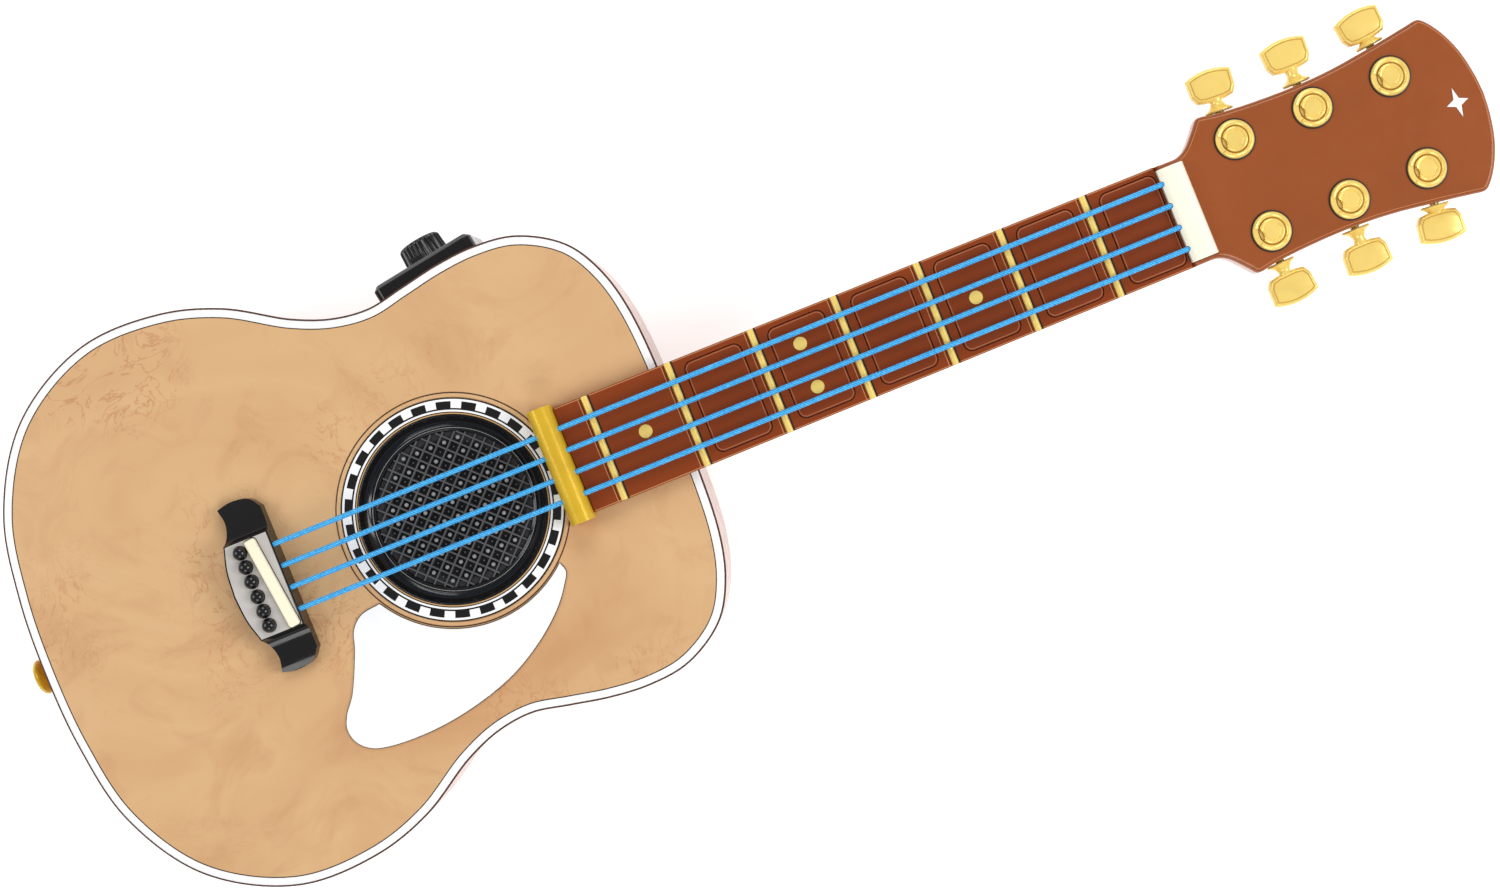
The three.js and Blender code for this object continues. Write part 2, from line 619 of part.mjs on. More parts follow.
function controlPlate() {
  const { length, height, z, thickness } = CONTROL;
  const half = length / 2;
  const edge = 2.2;
  const outline = roundedRectangle(0, 0, length, height, 4, 3);
  const face = offset(outline, -edge);
  const place = (point, y) => [point.x, y, point.y + z];
  const blank = loft([
    { at: thickness / 2 - 12, points: outline },
    { at: thickness / 2 - edge, points: outline },
    { at: thickness / 2, points: face },
  ], place).transform(controlFrame().matrix.toArray());
  return cut(blank, outerBody(GAP),
    controlDrill(KNOB.along, KNOB.z, 3.4, half),
    controlSlot(SLIDER.along + SLIDER.travel / 2, SLIDER.z, SLIDER.travel + SLIDER.width + 1, 3.8, 30));
}

function volumeKnob() {
  const start = CONTROL.thickness / 2 + 0.4;
  const end = start + KNOB.height;
  const profile = [
    [0, -9], [2.9, -9], [2.9, start], [KNOB.radius, start], [KNOB.radius - 0.4, end - 0.8],
    [KNOB.radius - 1.2, end], [0, end + 0.5],
  ].map(([radius, y]) => new THREE.Vector2(radius, y));
  const geometry = new THREE.LatheGeometry(profile, 24);
  geometry.translate(KNOB.along, 0, KNOB.z);
  return geometry;
}

function modeSlider() {
  const face = CONTROL.thickness / 2;
  const nub = new THREE.BoxGeometry(SLIDER.width, SLIDER.height + 9.5, 3);
  nub.translate(SLIDER.along, face + SLIDER.height / 2 - 4.75, SLIDER.z);
  return nub;
}

function controlBoard() {
  const board = new THREE.BoxGeometry(44, 1.6, 34);
  board.translate(0, -13.4, 32);
  const pot = new THREE.BoxGeometry(12, 5, 12);
  pot.translate(KNOB.along, -16.6, KNOB.z);
  const slideSwitch = new THREE.BoxGeometry(14, 4, 6);
  slideSwitch.translate(SLIDER.along + 3, -16.1, SLIDER.z);
  return join(solid(board), solid(pot), solid(slideSwitch));
}

// ---------------------------------------------------------------- battery bay and boards

function batteryDoor() {
  const [x0, x1] = [BAY.x0 + 0.6, BAY.x1 - 0.6];
  const half = BAY.halfWidth - 0.6;
  const points = roundedRectangle((x0 + x1) / 2, 0, x1 - x0, 2 * half, 1.5, 2);
  return cut(prism(points, DOOR.z0, DOOR.z1), post(19.5, 0, 1.9, -1, 5, 14), post(19.5, 0, 3.4, -1, 1.75, 16));
}

function batteryDoorScrew() {
  return turned([[0, 0.8], [3, 0.8], [3, 1.6], [1.5, 1.7], [1.5, 8], [0, 8.8]], 14).translate(19.5, 0, 0);
}

function cell(i) {
  const profile = [
    [0, 0], [CELL.radius, 0], [CELL.radius, 48.6], [2.7, 48.6], [2.7, CELL.length - 0.4], [0, CELL.length - 0.4],
  ].map(([radius, x]) => new THREE.Vector2(radius, x));
  const geometry = new THREE.LatheGeometry(profile, 18);
  geometry.rotateZ(-Math.PI / 2);
  if (i % 2 === 1) geometry.rotateZ(Math.PI).translate(CELL.length, 0, 0);
  return geometry.translate(CELL.x0, (i - 1) * CELL.pitch, CELL.z);
}

function circuitBoard() {
  const board = box(58, 122, -26, 26, 9.1, 10.7);
  return join(board, box(75, 95, -10, 10, 10.5, 13), box(104, 116, 10, 22, 10.5, 17));
}

function strapButton() {
  return turned([
    [0, 0], [6.2, 0], [5.4, 1.6], [4, 3.4], [4, 7.6], [7.4, 9], [8.3, 10.6], [7.4, 12.4], [4.5, 13], [0, 13],
  ], 14);
}

// ---------------------------------------------------------------- assembly

add("back_shell", geometryOf(backShell()), MATERIALS.brown);
add("soundboard", geometryOf(soundboard()), MATERIALS.tan);
add("binding", geometryOf(binding()), MATERIALS.white);
add("rosette", geometryOf(ring(SOUND_HOLE.radius, ROSETTE_INNER, SOUNDBOARD_TOP - 1.6, 60.8, 48)), MATERIALS.white);
add("speaker_grille", geometryOf(grille()), MATERIALS.black);
add("speaker_driver", speakerDriver(), MATERIALS.cone);
add("pickguard", geometryOf(pickguard()), MATERIALS.white);

add("bridge", geometryOf(bridge()), MATERIALS.black);
add("bridge_plate", geometryOf(bridgePlate()), MATERIALS.grey);
add("saddle", geometryOf(saddle()), MATERIALS.cream);
add("bridge_pins", geometryOf(bridgePins()), MATERIALS.black);

STRING_Y.forEach((y, i) => {
  add(`string_${i + 1}`, geometryOf(stringTube(y, STRING_RADIUS, 7.4, 446)), MATERIALS.blue);
});
add("string_bar", geometryOf(stringBar()), MATERIALS.gold);

add("neck_shell", geometryOf(neckShell()), MATERIALS.brown);
add("fretboard", geometryOf(fretboard()), MATERIALS.brown);
for (let i = 0; i < FRET.count; i += 1) {
  add(`fret_${i + 1}`, fret(i), MATERIALS.gold);
}
for (let i = 1; i < FRET.count; i += 1) {
  add(`fret_key_${i}`, geometryOf(fretKey(i)), MATERIALS.keyBrown);
}
add("key_pad_strip", geometryOf(keyPadStrip()), MATERIALS.rubber);
add("key_circuit_strip", geometryOf(box(216, 442, -18, 18, 56, 57.2)), MATERIALS.board);
add("nut", geometryOf(nut()), MATERIALS.cream);

add("headstock_face", geometryOf(headstockFace()), MATERIALS.brown);
add("headstock_inlay", geometryOf(headstockInlay()), MATERIALS.white);
[1, -1].forEach((side, row) => {
  TUNERS.forEach((tuner, i) => {
    const number = row * TUNERS.length + i + 1;
    add(`tuner_post_${number}`, tunerPost(POST_X[i], side), MATERIALS.gold);
    add(`tuner_key_${number}`, geometryOf(tunerKey(tuner, side)), MATERIALS.gold);
  });
});

add("control_plate", geometryOf(controlPlate()), MATERIALS.black);
const controls = controlFrame();
guitar.add(controls);
add("volume_knob", volumeKnob(), MATERIALS.black, controls);
add("mode_slider", modeSlider(), MATERIALS.black, controls);
add("control_board", geometryOf(controlBoard()), MATERIALS.board, controls);

const tailButton = add("strap_button_tail", strapButton(), MATERIALS.gold);
tailButton.position.set(-103 - BINDING_WIDTH - GAP, 0, 30);
tailButton.rotation.y = -Math.PI / 2;
const heelButton = add("strap_button_heel", strapButton(), MATERIALS.gold);
heelButton.position.set(210.5, 0, HEEL_BOTTOM - GAP);
heelButton.rotation.y = Math.PI;

add("battery_door", geometryOf(batteryDoor()), MATERIALS.brown);
add("battery_door_screw", batteryDoorScrew(), MATERIALS.steel);
for (let i = 0; i < 3; i += 1) {
  add(`battery_${i + 1}`, cell(i), MATERIALS.cell);
}
add("circuit_board", geometryOf(circuitBoard()), MATERIALS.board);

export default guitar;
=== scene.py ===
"""Looks of the toy guitar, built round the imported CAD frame.

Shapes are written in millimetres, with x counted from the middle of the bridge towards the
headstock, y across the strings and z up out of the soundboard. place() turns them into the
frame's metres.
"""

import math

import bmesh
import bpy
from mathutils import Matrix, Vector


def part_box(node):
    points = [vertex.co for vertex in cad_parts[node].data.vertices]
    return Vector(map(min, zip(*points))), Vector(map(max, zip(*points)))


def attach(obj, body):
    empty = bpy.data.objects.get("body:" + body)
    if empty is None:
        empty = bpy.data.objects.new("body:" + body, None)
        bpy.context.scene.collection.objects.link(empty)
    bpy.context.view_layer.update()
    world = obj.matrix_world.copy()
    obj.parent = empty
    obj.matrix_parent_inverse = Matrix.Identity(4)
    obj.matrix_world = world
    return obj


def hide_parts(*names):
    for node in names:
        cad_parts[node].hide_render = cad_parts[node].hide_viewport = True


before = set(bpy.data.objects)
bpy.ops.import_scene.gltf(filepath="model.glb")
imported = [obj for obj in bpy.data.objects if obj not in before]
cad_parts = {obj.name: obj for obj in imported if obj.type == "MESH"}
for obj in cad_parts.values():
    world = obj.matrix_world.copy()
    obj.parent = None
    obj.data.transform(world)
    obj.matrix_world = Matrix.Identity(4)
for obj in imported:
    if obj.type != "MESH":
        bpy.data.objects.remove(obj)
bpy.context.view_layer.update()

MM = 0.001


def box_mm(node):
    """A CAD node's lowest and highest corner in millimetres, in the frame's own x."""
    low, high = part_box(node)
    return low / MM, high / MM


# ---- sizes

BRIDGE_FRONT = 13.2
BRIDGE_X = box_mm("bridge")[1].x - BRIDGE_FRONT


def node_middle(node):
    """The x and y of a CAD node's middle, with x counted from the bridge."""
    low, high = box_mm(node)
    return (low.x + high.x) / 2 - BRIDGE_X, (low.y + high.y) / 2


TOP = 60.0
BINDING_WIDTH = 4.2
BODY_STEPS = 420

# Soundboard edge from the tail's middle round one side to the neck end's middle.
SOUNDBOARD_HALF = [
    (-103, 0), (-101.2, 36), (-93.8, 72.4), (-72, 106.8), (-36, 126.8), (0, 127.5), (27, 119.4),
    (54, 103.3), (72, 96.3), (90, 94.2), (108, 97.6), (126, 101.1), (144, 102.5), (162, 100.1),
    (180, 89.3), (189, 75), (194.6, 54), (196.7, 0),
]
HOLE_X = 91.3
STRING_ROWS = [node_middle(f"string_{i}")[1] for i in range(1, 5)]
STRING_Z = 69.2
STRING_RADIUS = 1.2
BRAID_LAY = 0.0013  # metres along the string from one painted band of the braid's shade and highlight to the next
PIN_ROWS = (-17.3, -10.5, -3.6, 3.6, 10.5, 17.3)
BAR = {"x0": 139.0, "x1": 150.3, "half": 27.2, "bottom": 61.2, "top": 74.0}
NECK_TOP = 60.2
FRETBOARD = {"x0": 150.6, "x1": 440.0, "half_body": 25.1, "half_nut": 24.2, "top": 66.0}
NUT = {"x0": 440.3, "x1": 452.9, "half": 22.0, "top": 71.5}
HEAD_HALF = [
    (440.3, 24.1), (446, 24.1), (452, 24.3), (456.5, 26.5), (463.1, 33.5), (466.4, 37.2), (468.5, 37.3),
    (475.7, 36), (492.8, 34.7), (513, 34.2), (530.1, 35.1), (551.7, 37.8), (568.4, 40.5), (574.6, 41.4),
    (576.6, 40.6), (581.9, 34.1), (587.3, 22.3), (590.1, 9), (590.8, 0),
]
HEAD_TOP = 65.0
HEAD_BOTTOM = 49.0
TUNERS = [(477.0, 3.0, 35.8), (516.0, 0.0, 34.4), (557.2, -6.0, 38.2)]  # x, fan in degrees, edge
TUNER_Z = 55.2
POST_PLACES = [node_middle(f"tuner_post_{i}") for i in range(1, 7)]
NOTCH_X = 8.9  # from a tuner post's middle to the middle of its round notch
PADDLE = {"half": 10.65, "middle": 49.3, "reach": 7.3}
CONTROL = {"x": 118.5, "y": 107.55, "tilt": 9.4, "length": 51.0, "height": 40.0, "z": 32.0}
BAY = {"x0": -46.0, "x1": 28.0, "half": 26.5, "roof": 20.5}
DOOR_SCREW_X = 19.5


# ---- curves and outlines

def catmull(points, closed, steps):
    """Points at equal distances along a centripetal Catmull-Rom curve through the given ones."""
    pts = [Vector((*p, 0)) for p in points]
    count = len(pts)
    spans = count if closed else count - 1
    fine = []
    for i in range(spans):
        p1 = pts[i]
        p2 = pts[(i + 1) % count]
        p0 = pts[i - 1] if closed or i > 0 else p1 * 2 - p2
        p3 = pts[(i + 2) % count] if closed or i + 2 < count else p2 * 2 - p1
        d0, d1, d2 = (math.sqrt((b - a).length) for a, b in ((p0, p1), (p1, p2), (p2, p3)))
        t1 = ((p1 - p0) / d0 - (p2 - p0) / (d0 + d1) + (p2 - p1) / d1) * d1
        t2 = ((p2 - p1) / d1 - (p3 - p1) / (d1 + d2) + (p3 - p2) / d2) * d1
        for k in range(24):
            t = k / 24
            fine.append(
                p1 * (2 * t ** 3 - 3 * t ** 2 + 1) + t1 * (t ** 3 - 2 * t ** 2 + t)
                + p2 * (3 * t ** 2 - 2 * t ** 3) + t2 * (t ** 3 - t ** 2))
    fine.append(pts[0] if closed else pts[-1])
    reach = [0.0]
    for a, b in zip(fine, fine[1:]):
        reach.append(reach[-1] + (b - a).length)
    result = []
    k = 0
    for i in range(steps if closed else steps + 1):
        want = reach[-1] * i / steps
        while k < len(reach) - 2 and reach[k + 1] < want:
            k += 1
        share = (want - reach[k]) / (reach[k + 1] - reach[k])
        point = fine[k].lerp(fine[k + 1], share)
        result.append((point.x, point.y))
    return result


def mirrored(half):
    """A half outline on +y, from low x to high x, made whole and anticlockwise."""
    upper = [p for p in reversed(half) if p[1] > 0]
    return [(x, -y) for x, y in half] + upper


def offset(points, distance):
    """An anticlockwise outline moved outwards."""
    moved = []
    for i, (x, y) in enumerate(points):
        ax, ay = points[i - 1]
        bx, by = points[(i + 1) % len(points)]
        length = math.hypot(bx - ax, by - ay)
        moved.append((x + (by - ay) / length * distance, y - (bx - ax) / length * distance))
    return moved


def resampled(points, steps):
    """The same closed outline with its straight sides cut into short steps."""
    result = []
    total = sum(math.dist(p, points[i - 1]) for i, p in enumerate(points))
    for i, (x, y) in enumerate(points):
        nx, ny = points[(i + 1) % len(points)]
        count = max(1, round(steps * math.dist((x, y), (nx, ny)) / total))
        result += [(x + (nx - x) * k / count, y + (ny - y) * k / count) for k in range(count)]
    return result


def circle(x, y, radius, steps):
    return [(x + radius * math.cos(2 * math.pi * i / steps), y + radius * math.sin(2 * math.pi * i / steps))
            for i in range(steps)]


def rounded_rectangle(x, y, length, width, radius, arc_steps=8):
    points = []
    for sx, sy, start in ((1, -1, -90), (1, 1, 0), (-1, 1, 90), (-1, -1, 180)):
        for i in range(arc_steps + 1):
            angle = math.radians(start + 90 * i / arc_steps)
            points.append((x + sx * (length / 2 - radius) + radius * math.cos(angle),
                           y + sy * (width / 2 - radius) + radius * math.sin(angle)))
    return points


def turned_points(points, degrees, about):
    c, s = math.cos(math.radians(degrees)), math.sin(math.radians(degrees))
    return [(about[0] + c * (x - about[0]) - s * (y - about[1]),
             about[1] + s * (x - about[0]) + c * (y - about[1])) for x, y in points]


# ---- meshes

def place(point):
    return Vector(((point[0] + BRIDGE_X) * MM, point[1] * MM, point[2] * MM))


def upward(point, z):
    return (*point, z)


def along_neck(point, x):
    return (x, *point)


def across_neck(point, y):
    return (point[0], y, point[1])


def loft(rings, how=upward, closed=False):
    """Vertices and faces through rings, each (station, points), capped at both ends or closed."""
    count = len(rings[0][1])
    verts = [how(p, station) for station, points in rings for p in points]
    spans = len(rings) if closed else len(rings) - 1
    faces = []
    for r in range(spans):
        a0, b0 = r * count, ((r + 1) % len(rings)) * count
        for i in range(count):
            j = (i + 1) % count
            faces.append((a0 + i, a0 + j, b0 + j, b0 + i))
    if not closed:
        faces.append(tuple(reversed(range(count))))
        faces.append(tuple(range(spans * count, len(rings) * count)))
    return verts, faces


def band(outline, outer, inner, z0, z1):
    """Closed ring along an outline, between two offsets from it and two heights."""
    corners = ((z0, outer), (z1, outer), (z1, inner), (z0, inner))
    return loft([(z, offset(outline, out)) for z, out in corners], closed=True)


def prism(points, start, end, how=upward):
    return loft([(start, points), (end, points)], how)


def slab_rings(outline, z0, z1, top=0.0, bottom=0.0, steps=4):
    """Rings of a plate whose top and bottom edges are rounded."""
    rings = []
    for k in range(steps + 1 if bottom else 1):
        a = math.pi / 2 * (k / steps if bottom else 1)
        rings.append((z0 + bottom * (1 - math.cos(a)), offset(outline, -bottom * (1 - math.sin(a)))))
    if not bottom:
        rings = [(z0, outline)]
    for k in range(steps + 1 if top else 0):
        a = math.pi / 2 * k / steps
        rings.append((z1 - top * (1 - math.sin(a)), offset(outline, -top * (1 - math.cos(a)))))
    if not top:
        rings.append((z1, outline))
    return rings


def lathe(profile, steps, closed=False):
    """A turned piece about z from (radius, z) points, open profiles starting and ending on the axis."""
    rings = [(z, circle(0, 0, max(radius, 1e-4), steps)) for radius, z in profile]
    return loft(rings, closed=closed)


def at(x, y, z=0.0):
    return Matrix.Translation((x, y, z))


def turned(degrees, axis):
    return Matrix.Rotation(math.radians(degrees), 4, axis)


def arc(x, y, radius, start, end, step):
    """Points on a circle from one angle to another, in degrees."""
    angles = [math.radians(degrees) for degrees in range(start, end, step)]
    return [(x + radius * math.cos(a), y + radius * math.sin(a)) for a in angles]


def moved(shape, matrix):
    verts, faces = shape
    return [tuple(matrix @ Vector(v)) for v in verts], faces


def hole_ring(profile, steps):
    """A turned ring round the sound hole's axis."""
    return moved(lathe(profile, steps, closed=True), at(HOLE_X, 0))


def merged(*shapes):
    verts, faces = [], []
    for more_verts, more_faces in shapes:
        start = len(verts)
        verts += more_verts
        faces += [tuple(start + i for i in face) for face in more_faces]
    return verts, faces


def block(x0, x1, y0, y1, z0, z1):
    return prism([(x0, y0), (x1, y0), (x1, y1), (x0, y1)], z0, z1)


def rod(x, y, radius, z0, z1, steps=48):
    return prism(circle(x, y, radius, steps), z0, z1)


def string_bore(y, radius, x0, x1):
    return prism(circle(y, STRING_Z, radius, 20), x0, x1, along_neck)


def build(name, shape, material, sharp=38):
    """An object of a shape in millimetres, welded, with its normals out and its edges shaded."""
    verts, faces = shape
    mesh = bpy.data.meshes.new(name)
    mesh.from_pydata([place(v) for v in verts], [], faces)
    work = bmesh.new()
    work.from_mesh(mesh)
    bmesh.ops.remove_doubles(work, verts=work.verts, dist=2e-6)
    bmesh.ops.recalc_face_normals(work, faces=work.faces)
    work.to_mesh(mesh)
    work.free()
    obj = bpy.data.objects.new(name, mesh)
    bpy.context.scene.collection.objects.link(obj)
    if material is not None:
        mesh.materials.append(material)
    shade(obj, sharp)
    return obj


def shade(obj, sharp=38):
    mesh = obj.data
    mesh.polygons.foreach_set("use_smooth", [True] * len(mesh.polygons))
    mesh.set_sharp_from_angle(angle=math.radians(sharp))


def bake(obj):
    """Applies the modifiers that the object has now."""
    bpy.context.view_layer.update()
    graph = bpy.context.evaluated_depsgraph_get()
    mesh = bpy.data.meshes.new_from_object(obj.evaluated_get(graph))
    mesh.name = obj.name
    obj.modifiers.clear()
    obj.data = mesh


def carve(obj, shape, operation="DIFFERENCE"):
    """Cuts a closed shape out of the object, or joins it to the object."""
    tool = build(obj.name + "_tool", shape, None)
    modifier = obj.modifiers.new("carve", "BOOLEAN")
    modifier.object = tool
    modifier.operation = operation
    modifier.solver = "EXACT"
    modifier.use_self = operation == "DIFFERENCE"
    bake(obj)
    bpy.data.objects.remove(tool)
    shade(obj)


def soften(obj, width, segments=3, angle=38):
    """Rounds the edges sharper than the angle."""
    modifier = obj.modifiers.new("soften", "BEVEL")
    modifier.width = width * MM
    modifier.segments = segments
    modifier.limit_method = "ANGLE"
    modifier.angle_limit = math.radians(angle)
    modifier.miter_outer = "MITER_ARC"
    bake(obj)
    shade(obj, 60)


def settle(obj, replaces=(), body="guitar", even=True):
    """Last step of every piece: even normals, its body and the CAD nodes it stands for."""
    if even:
        modifier = obj.modifiers.new("normals", "WEIGHTED_NORMAL")
        modifier.keep_sharp = True
    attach(obj, body)
    if replaces:
        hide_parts(*replaces)


def piece(name, shape, material, replaces=(), body="guitar", even=True, sharp=38):
    """A piece that needs no cuts or rounding of its own."""
    settle(build(name, shape, material, sharp), replaces, body, even)


# ---- materials

def linear(red, green, blue):
    """Linear colour of an sRGB one given in 0 to 255."""
    def one(value):
        value /= 255
        return value / 12.92 if value <= 0.04045 else ((value + 0.055) / 1.055) ** 2.4
    return (one(red), one(green), one(blue), 1.0)


def toned(colour, factor):
    return (*(min(1.0, channel * factor) for channel in colour[:3]), 1.0)


class Nodes:
    """A material's node tree with short calls for what the finishes below need."""

    def __init__(self, name):
        self.material = bpy.data.materials.new(name)
        self.material.use_nodes = True
        self.tree = self.material.node_tree
        self.shader = self.tree.nodes["Principled BSDF"]
        self.coordinates = self.tree.nodes.new("ShaderNodeTexCoord").outputs["Object"]

    def new(self, kind, **values):
        node = self.tree.nodes.new(kind)
        for key, value in values.items():
            setattr(node, key, value)
        return node

    def link(self, source, target):
        self.tree.links.new(source, target)

    def feed(self, socket, value):
        """Sets a socket to a plain value, or links another node's output to it."""
        if isinstance(value, (int, float, tuple)):
            socket.default_value = value
        else:
            self.link(value, socket)

    def noise(self, scale, detail=2.0, distortion=0.0, roughness=0.5, vector=None):
        node = self.new("ShaderNodeTexNoise")
        settings = {"Scale": scale, "Detail": detail, "Distortion": distortion, "Roughness": roughness}
        for key, number in settings.items():
            node.inputs[key].default_value = number
        self.link(vector or self.coordinates, node.inputs["Vector"])
        return node.outputs["Fac"]

    def stretched(self, x, y, z):
        node = self.new("ShaderNodeMapping")
        node.inputs["Scale"].default_value = (x, y, z)
        self.link(self.coordinates, node.inputs["Vector"])
        return node.outputs["Vector"]

    def ramp(self, value, *stops):
        node = self.new("ShaderNodeValToRGB")
        elements = node.color_ramp.elements
        while len(elements) < len(stops):
            elements.new(0.5)
        for element, (position, colour) in zip(elements, stops):
            element.position = position
            element.color = colour
        self.link(value, node.inputs["Fac"])
        return node.outputs["Color"]

    def spread(self, value, low, high, start=0.3, end=0.7):
        node = self.new("ShaderNodeMapRange")
        for key, number in (("From Min", start), ("From Max", end), ("To Min", low), ("To Max", high)):
            node.inputs[key].default_value = number
        self.link(value, node.inputs["Value"])
        return node.outputs["Result"]

    def math(self, operation, a, b=0.0):
        node = self.new("ShaderNodeMath", operation=operation)
        self.feed(node.inputs[0], a)
        self.feed(node.inputs[1], b)
        return node.outputs[0]

    def mix(self, factor, a, b):
        node = self.new("ShaderNodeMix", data_type="RGBA")
        for number, value in ((0, factor), (6, a), (7, b)):
            self.feed(node.inputs[number], value)
        return node.outputs[2]

    def bump(self, height, strength, distance):
        node = self.new("ShaderNodeBump")
        node.inputs["Strength"].default_value = strength
        node.inputs["Distance"].default_value = distance
        self.link(height, node.inputs["Height"])
        self.link(node.outputs["Normal"], self.shader.inputs["Normal"])

    def use(self, **sockets):
        for name, value in sockets.items():
            self.feed(self.shader.inputs[name.replace("_", " ")], value)


def moulded(name, rgb, roughness, tone=0.05, texture=0.05, coat=0.0, metallic=0.0, grain=2600,
            patch=22, shine=0.5):
    """Moulded plastic: slight flow mottling, uneven gloss and a faint skin texture."""
    m = Nodes(name)
    colour = linear(*rgb)
    flow = m.noise(patch, 3, 0.8)
    dark, light = toned(colour, 1 - tone), toned(colour, 1 + tone)
    m.use(
        Base_Color=m.ramp(flow, (0.32, dark), (0.5, colour), (0.7, light)),
        Roughness=m.spread(m.noise(140, 3), max(0.02, roughness - 0.05), roughness + 0.05),
        Metallic=float(metallic), Coat_Weight=float(coat), Coat_Roughness=0.08,
        Specular_IOR_Level=float(shine))
    m.bump(m.noise(grain, 2), texture, 0.00005)
    return m.material


def printed_maple():
    """The soundboard's printed wood: honey tan with soft cloudy figure, darker knots and fine curls."""
    m = Nodes("printed_maple")
    cloud = m.noise(7.5, 4, 0.9, 0.55, m.stretched(1.0, 1.25, 1.0))
    base = m.ramp(
        cloud, (0.3, linear(204, 154, 108)), (0.45, linear(216, 172, 124)), (0.58, linear(221, 179, 130)),
        (0.72, linear(212, 165, 117)))
    swirl = m.noise(21, 6, 2.4, 0.6)
    base = m.mix(m.spread(swirl, 0.0, 0.5, 0.5, 0.72), base, linear(200, 148, 103))
    mask = m.spread(m.noise(11, 2, 0.5), 0.0, 1.0, 0.52, 0.66)
    contour = m.math("ABSOLUTE", m.math("SUBTRACT", m.noise(33, 5, 3.0, 0.62), 0.5))
    curl = m.math("MULTIPLY", m.spread(contour, 1.0, 0.0, 0.004, 0.022), mask)
    base = m.mix(m.math("MULTIPLY", curl, 0.5), base, linear(178, 102, 62))
    specks = m.spread(m.noise(150, 3, 1.0), 0.0, 1.0, 0.66, 0.74)
    base = m.mix(m.math("MULTIPLY", specks, m.math("MULTIPLY", mask, 0.1)), base, linear(150, 98, 70))
    gloss = m.spread(m.noise(60, 3), 0.27, 0.36)
    m.use(Base_Color=base, Roughness=gloss, Coat_Weight=0.1, Coat_Roughness=0.12)
    m.bump(m.noise(1500, 2), 0.05, 0.00004)
    return m.material


def gold_plate(name, rgb, roughness):
    """Vacuum-plated plastic: uneven tint and gloss, faint orange peel."""
    m = Nodes(name)
    colour = linear(*rgb)
    patch = m.noise(75, 2, 0.4)
    m.use(
        Base_Color=m.ramp(patch, (0.3, toned(colour, 0.93)), (0.52, colour), (0.72, toned(colour, 1.04))),
        Roughness=m.spread(m.noise(300, 3), roughness - 0.03, roughness + 0.04), Metallic=0.2)
    m.bump(m.noise(1800, 2), 0.03, 0.00003)
    return m.material


def braided_blue():
    """Fine yarns along the string, with the braid's slanting bands of light and dark as painted shade and
    highlight of its relief.
    """
    m = Nodes("braided_blue")
    split = m.new("ShaderNodeSeparateXYZ")
    m.link(m.coordinates, split.inputs[0])
    strands = m.noise(2600, 3, 0.4, 0.6, m.stretched(0.35, 1.0, 1.0))
    # painted shade and highlight: slanting sine bands across the braid
    slant = m.math("ADD", split.outputs["X"], split.outputs["Y"])
    wave = m.math("SINE", m.math("MULTIPLY", slant, 2 * math.pi / BRAID_LAY))
    braid_shading = m.math("MULTIPLY", wave, 0.12)
    value = m.math("ADD", strands, braid_shading)
    deep, middle, pale = linear(14, 122, 206), linear(40, 170, 238), linear(112, 210, 252)
    m.use(
        Base_Color=m.ramp(value, (0.28, deep), (0.5, middle), (0.72, pale)),
        Roughness=m.spread(strands, 0.5, 0.75), Sheen_Weight=0.1, Sheen_Roughness=0.5)
    m.bump(strands, 0.3, 0.0001)
    return m.material


def cell_sleeve():
    """Dark metallic print round a cell."""
    m = Nodes("cell_sleeve")
    tint = m.noise(60, 2)
    m.use(
        Base_Color=m.ramp(tint, (0.3, linear(40, 43, 48)), (0.6, linear(60, 64, 70))),
        Roughness=m.spread(m.noise(200, 2), 0.22, 0.34), Metallic=0.6)
    m.bump(m.noise(1800, 2), 0.08, 0.00004)
    return m.material


brown_shell = moulded("brown_shell", (150, 80, 43), 0.2, tone=0.07, texture=0.04, coat=0.3)
brown_face = moulded("brown_face", (151, 78, 34), 0.2, tone=0.05, texture=0.05)
brown_board = moulded("brown_board", (136, 58, 18), 0.3, shine=0.3, tone=0.07, texture=0.06)
brown_key = moulded("brown_key", (131, 55, 17), 0.42, shine=0.25, tone=0.06, texture=0.07)
maple = printed_maple()
white_gloss = moulded("white_gloss", (252, 252, 253), 0.2, tone=0.012, texture=0.03)
black_gloss = moulded("black_gloss", (15, 14, 16), 0.14, tone=0.15, texture=0.04)
# painted shade: near-black floor under the grille's openings
hollow_shade_black = moulded("hollow_shade_black", (3, 3, 4), 0.7, tone=0.2)
black_satin = moulded("black_satin", (16, 15, 16), 0.34, tone=0.12, texture=0.2, grain=1700)
# painted shade: dark strips beside the frets and round the pickguard's edge
edge_shade_black = moulded("edge_shade_black", (30, 20, 15), 0.45, tone=0.1)
grey_paint = moulded(
    "grey_paint", (206, 201, 196), 0.28, tone=0.07, texture=0.12, metallic=0.2, grain=3400, patch=45)
cream = moulded("cream", (253, 246, 218), 0.28, tone=0.02, texture=0.06)
# painted highlight: the grille's black bars and small studs made grey
lattice_highlight_grey = moulded("lattice_highlight_grey", (92, 92, 94), 0.3, tone=0.15, texture=0.1)
# painted highlight: the grille's large studs and a thin ring made pale grey
stud_highlight_grey = moulded("stud_highlight_grey", (150, 150, 152), 0.22, tone=0.12, texture=0.1)
# painted shade: dark lines in the gap between soundboard and binding, in the groove round the rosette and
# in the gaps round the tuner posts
shade_line_brown = moulded("shade_line_brown", (46, 30, 20), 0.4, tone=0.1)
# painted shade: the body shell's top lip beside the binding made dark
rim_shade_brown = moulded("rim_shade_brown", (84, 52, 38), 0.4, tone=0.1)
tan_line = moulded("tan_line", (205, 160, 104), 0.3)
gold = gold_plate("gold", (253, 220, 122), 0.2)
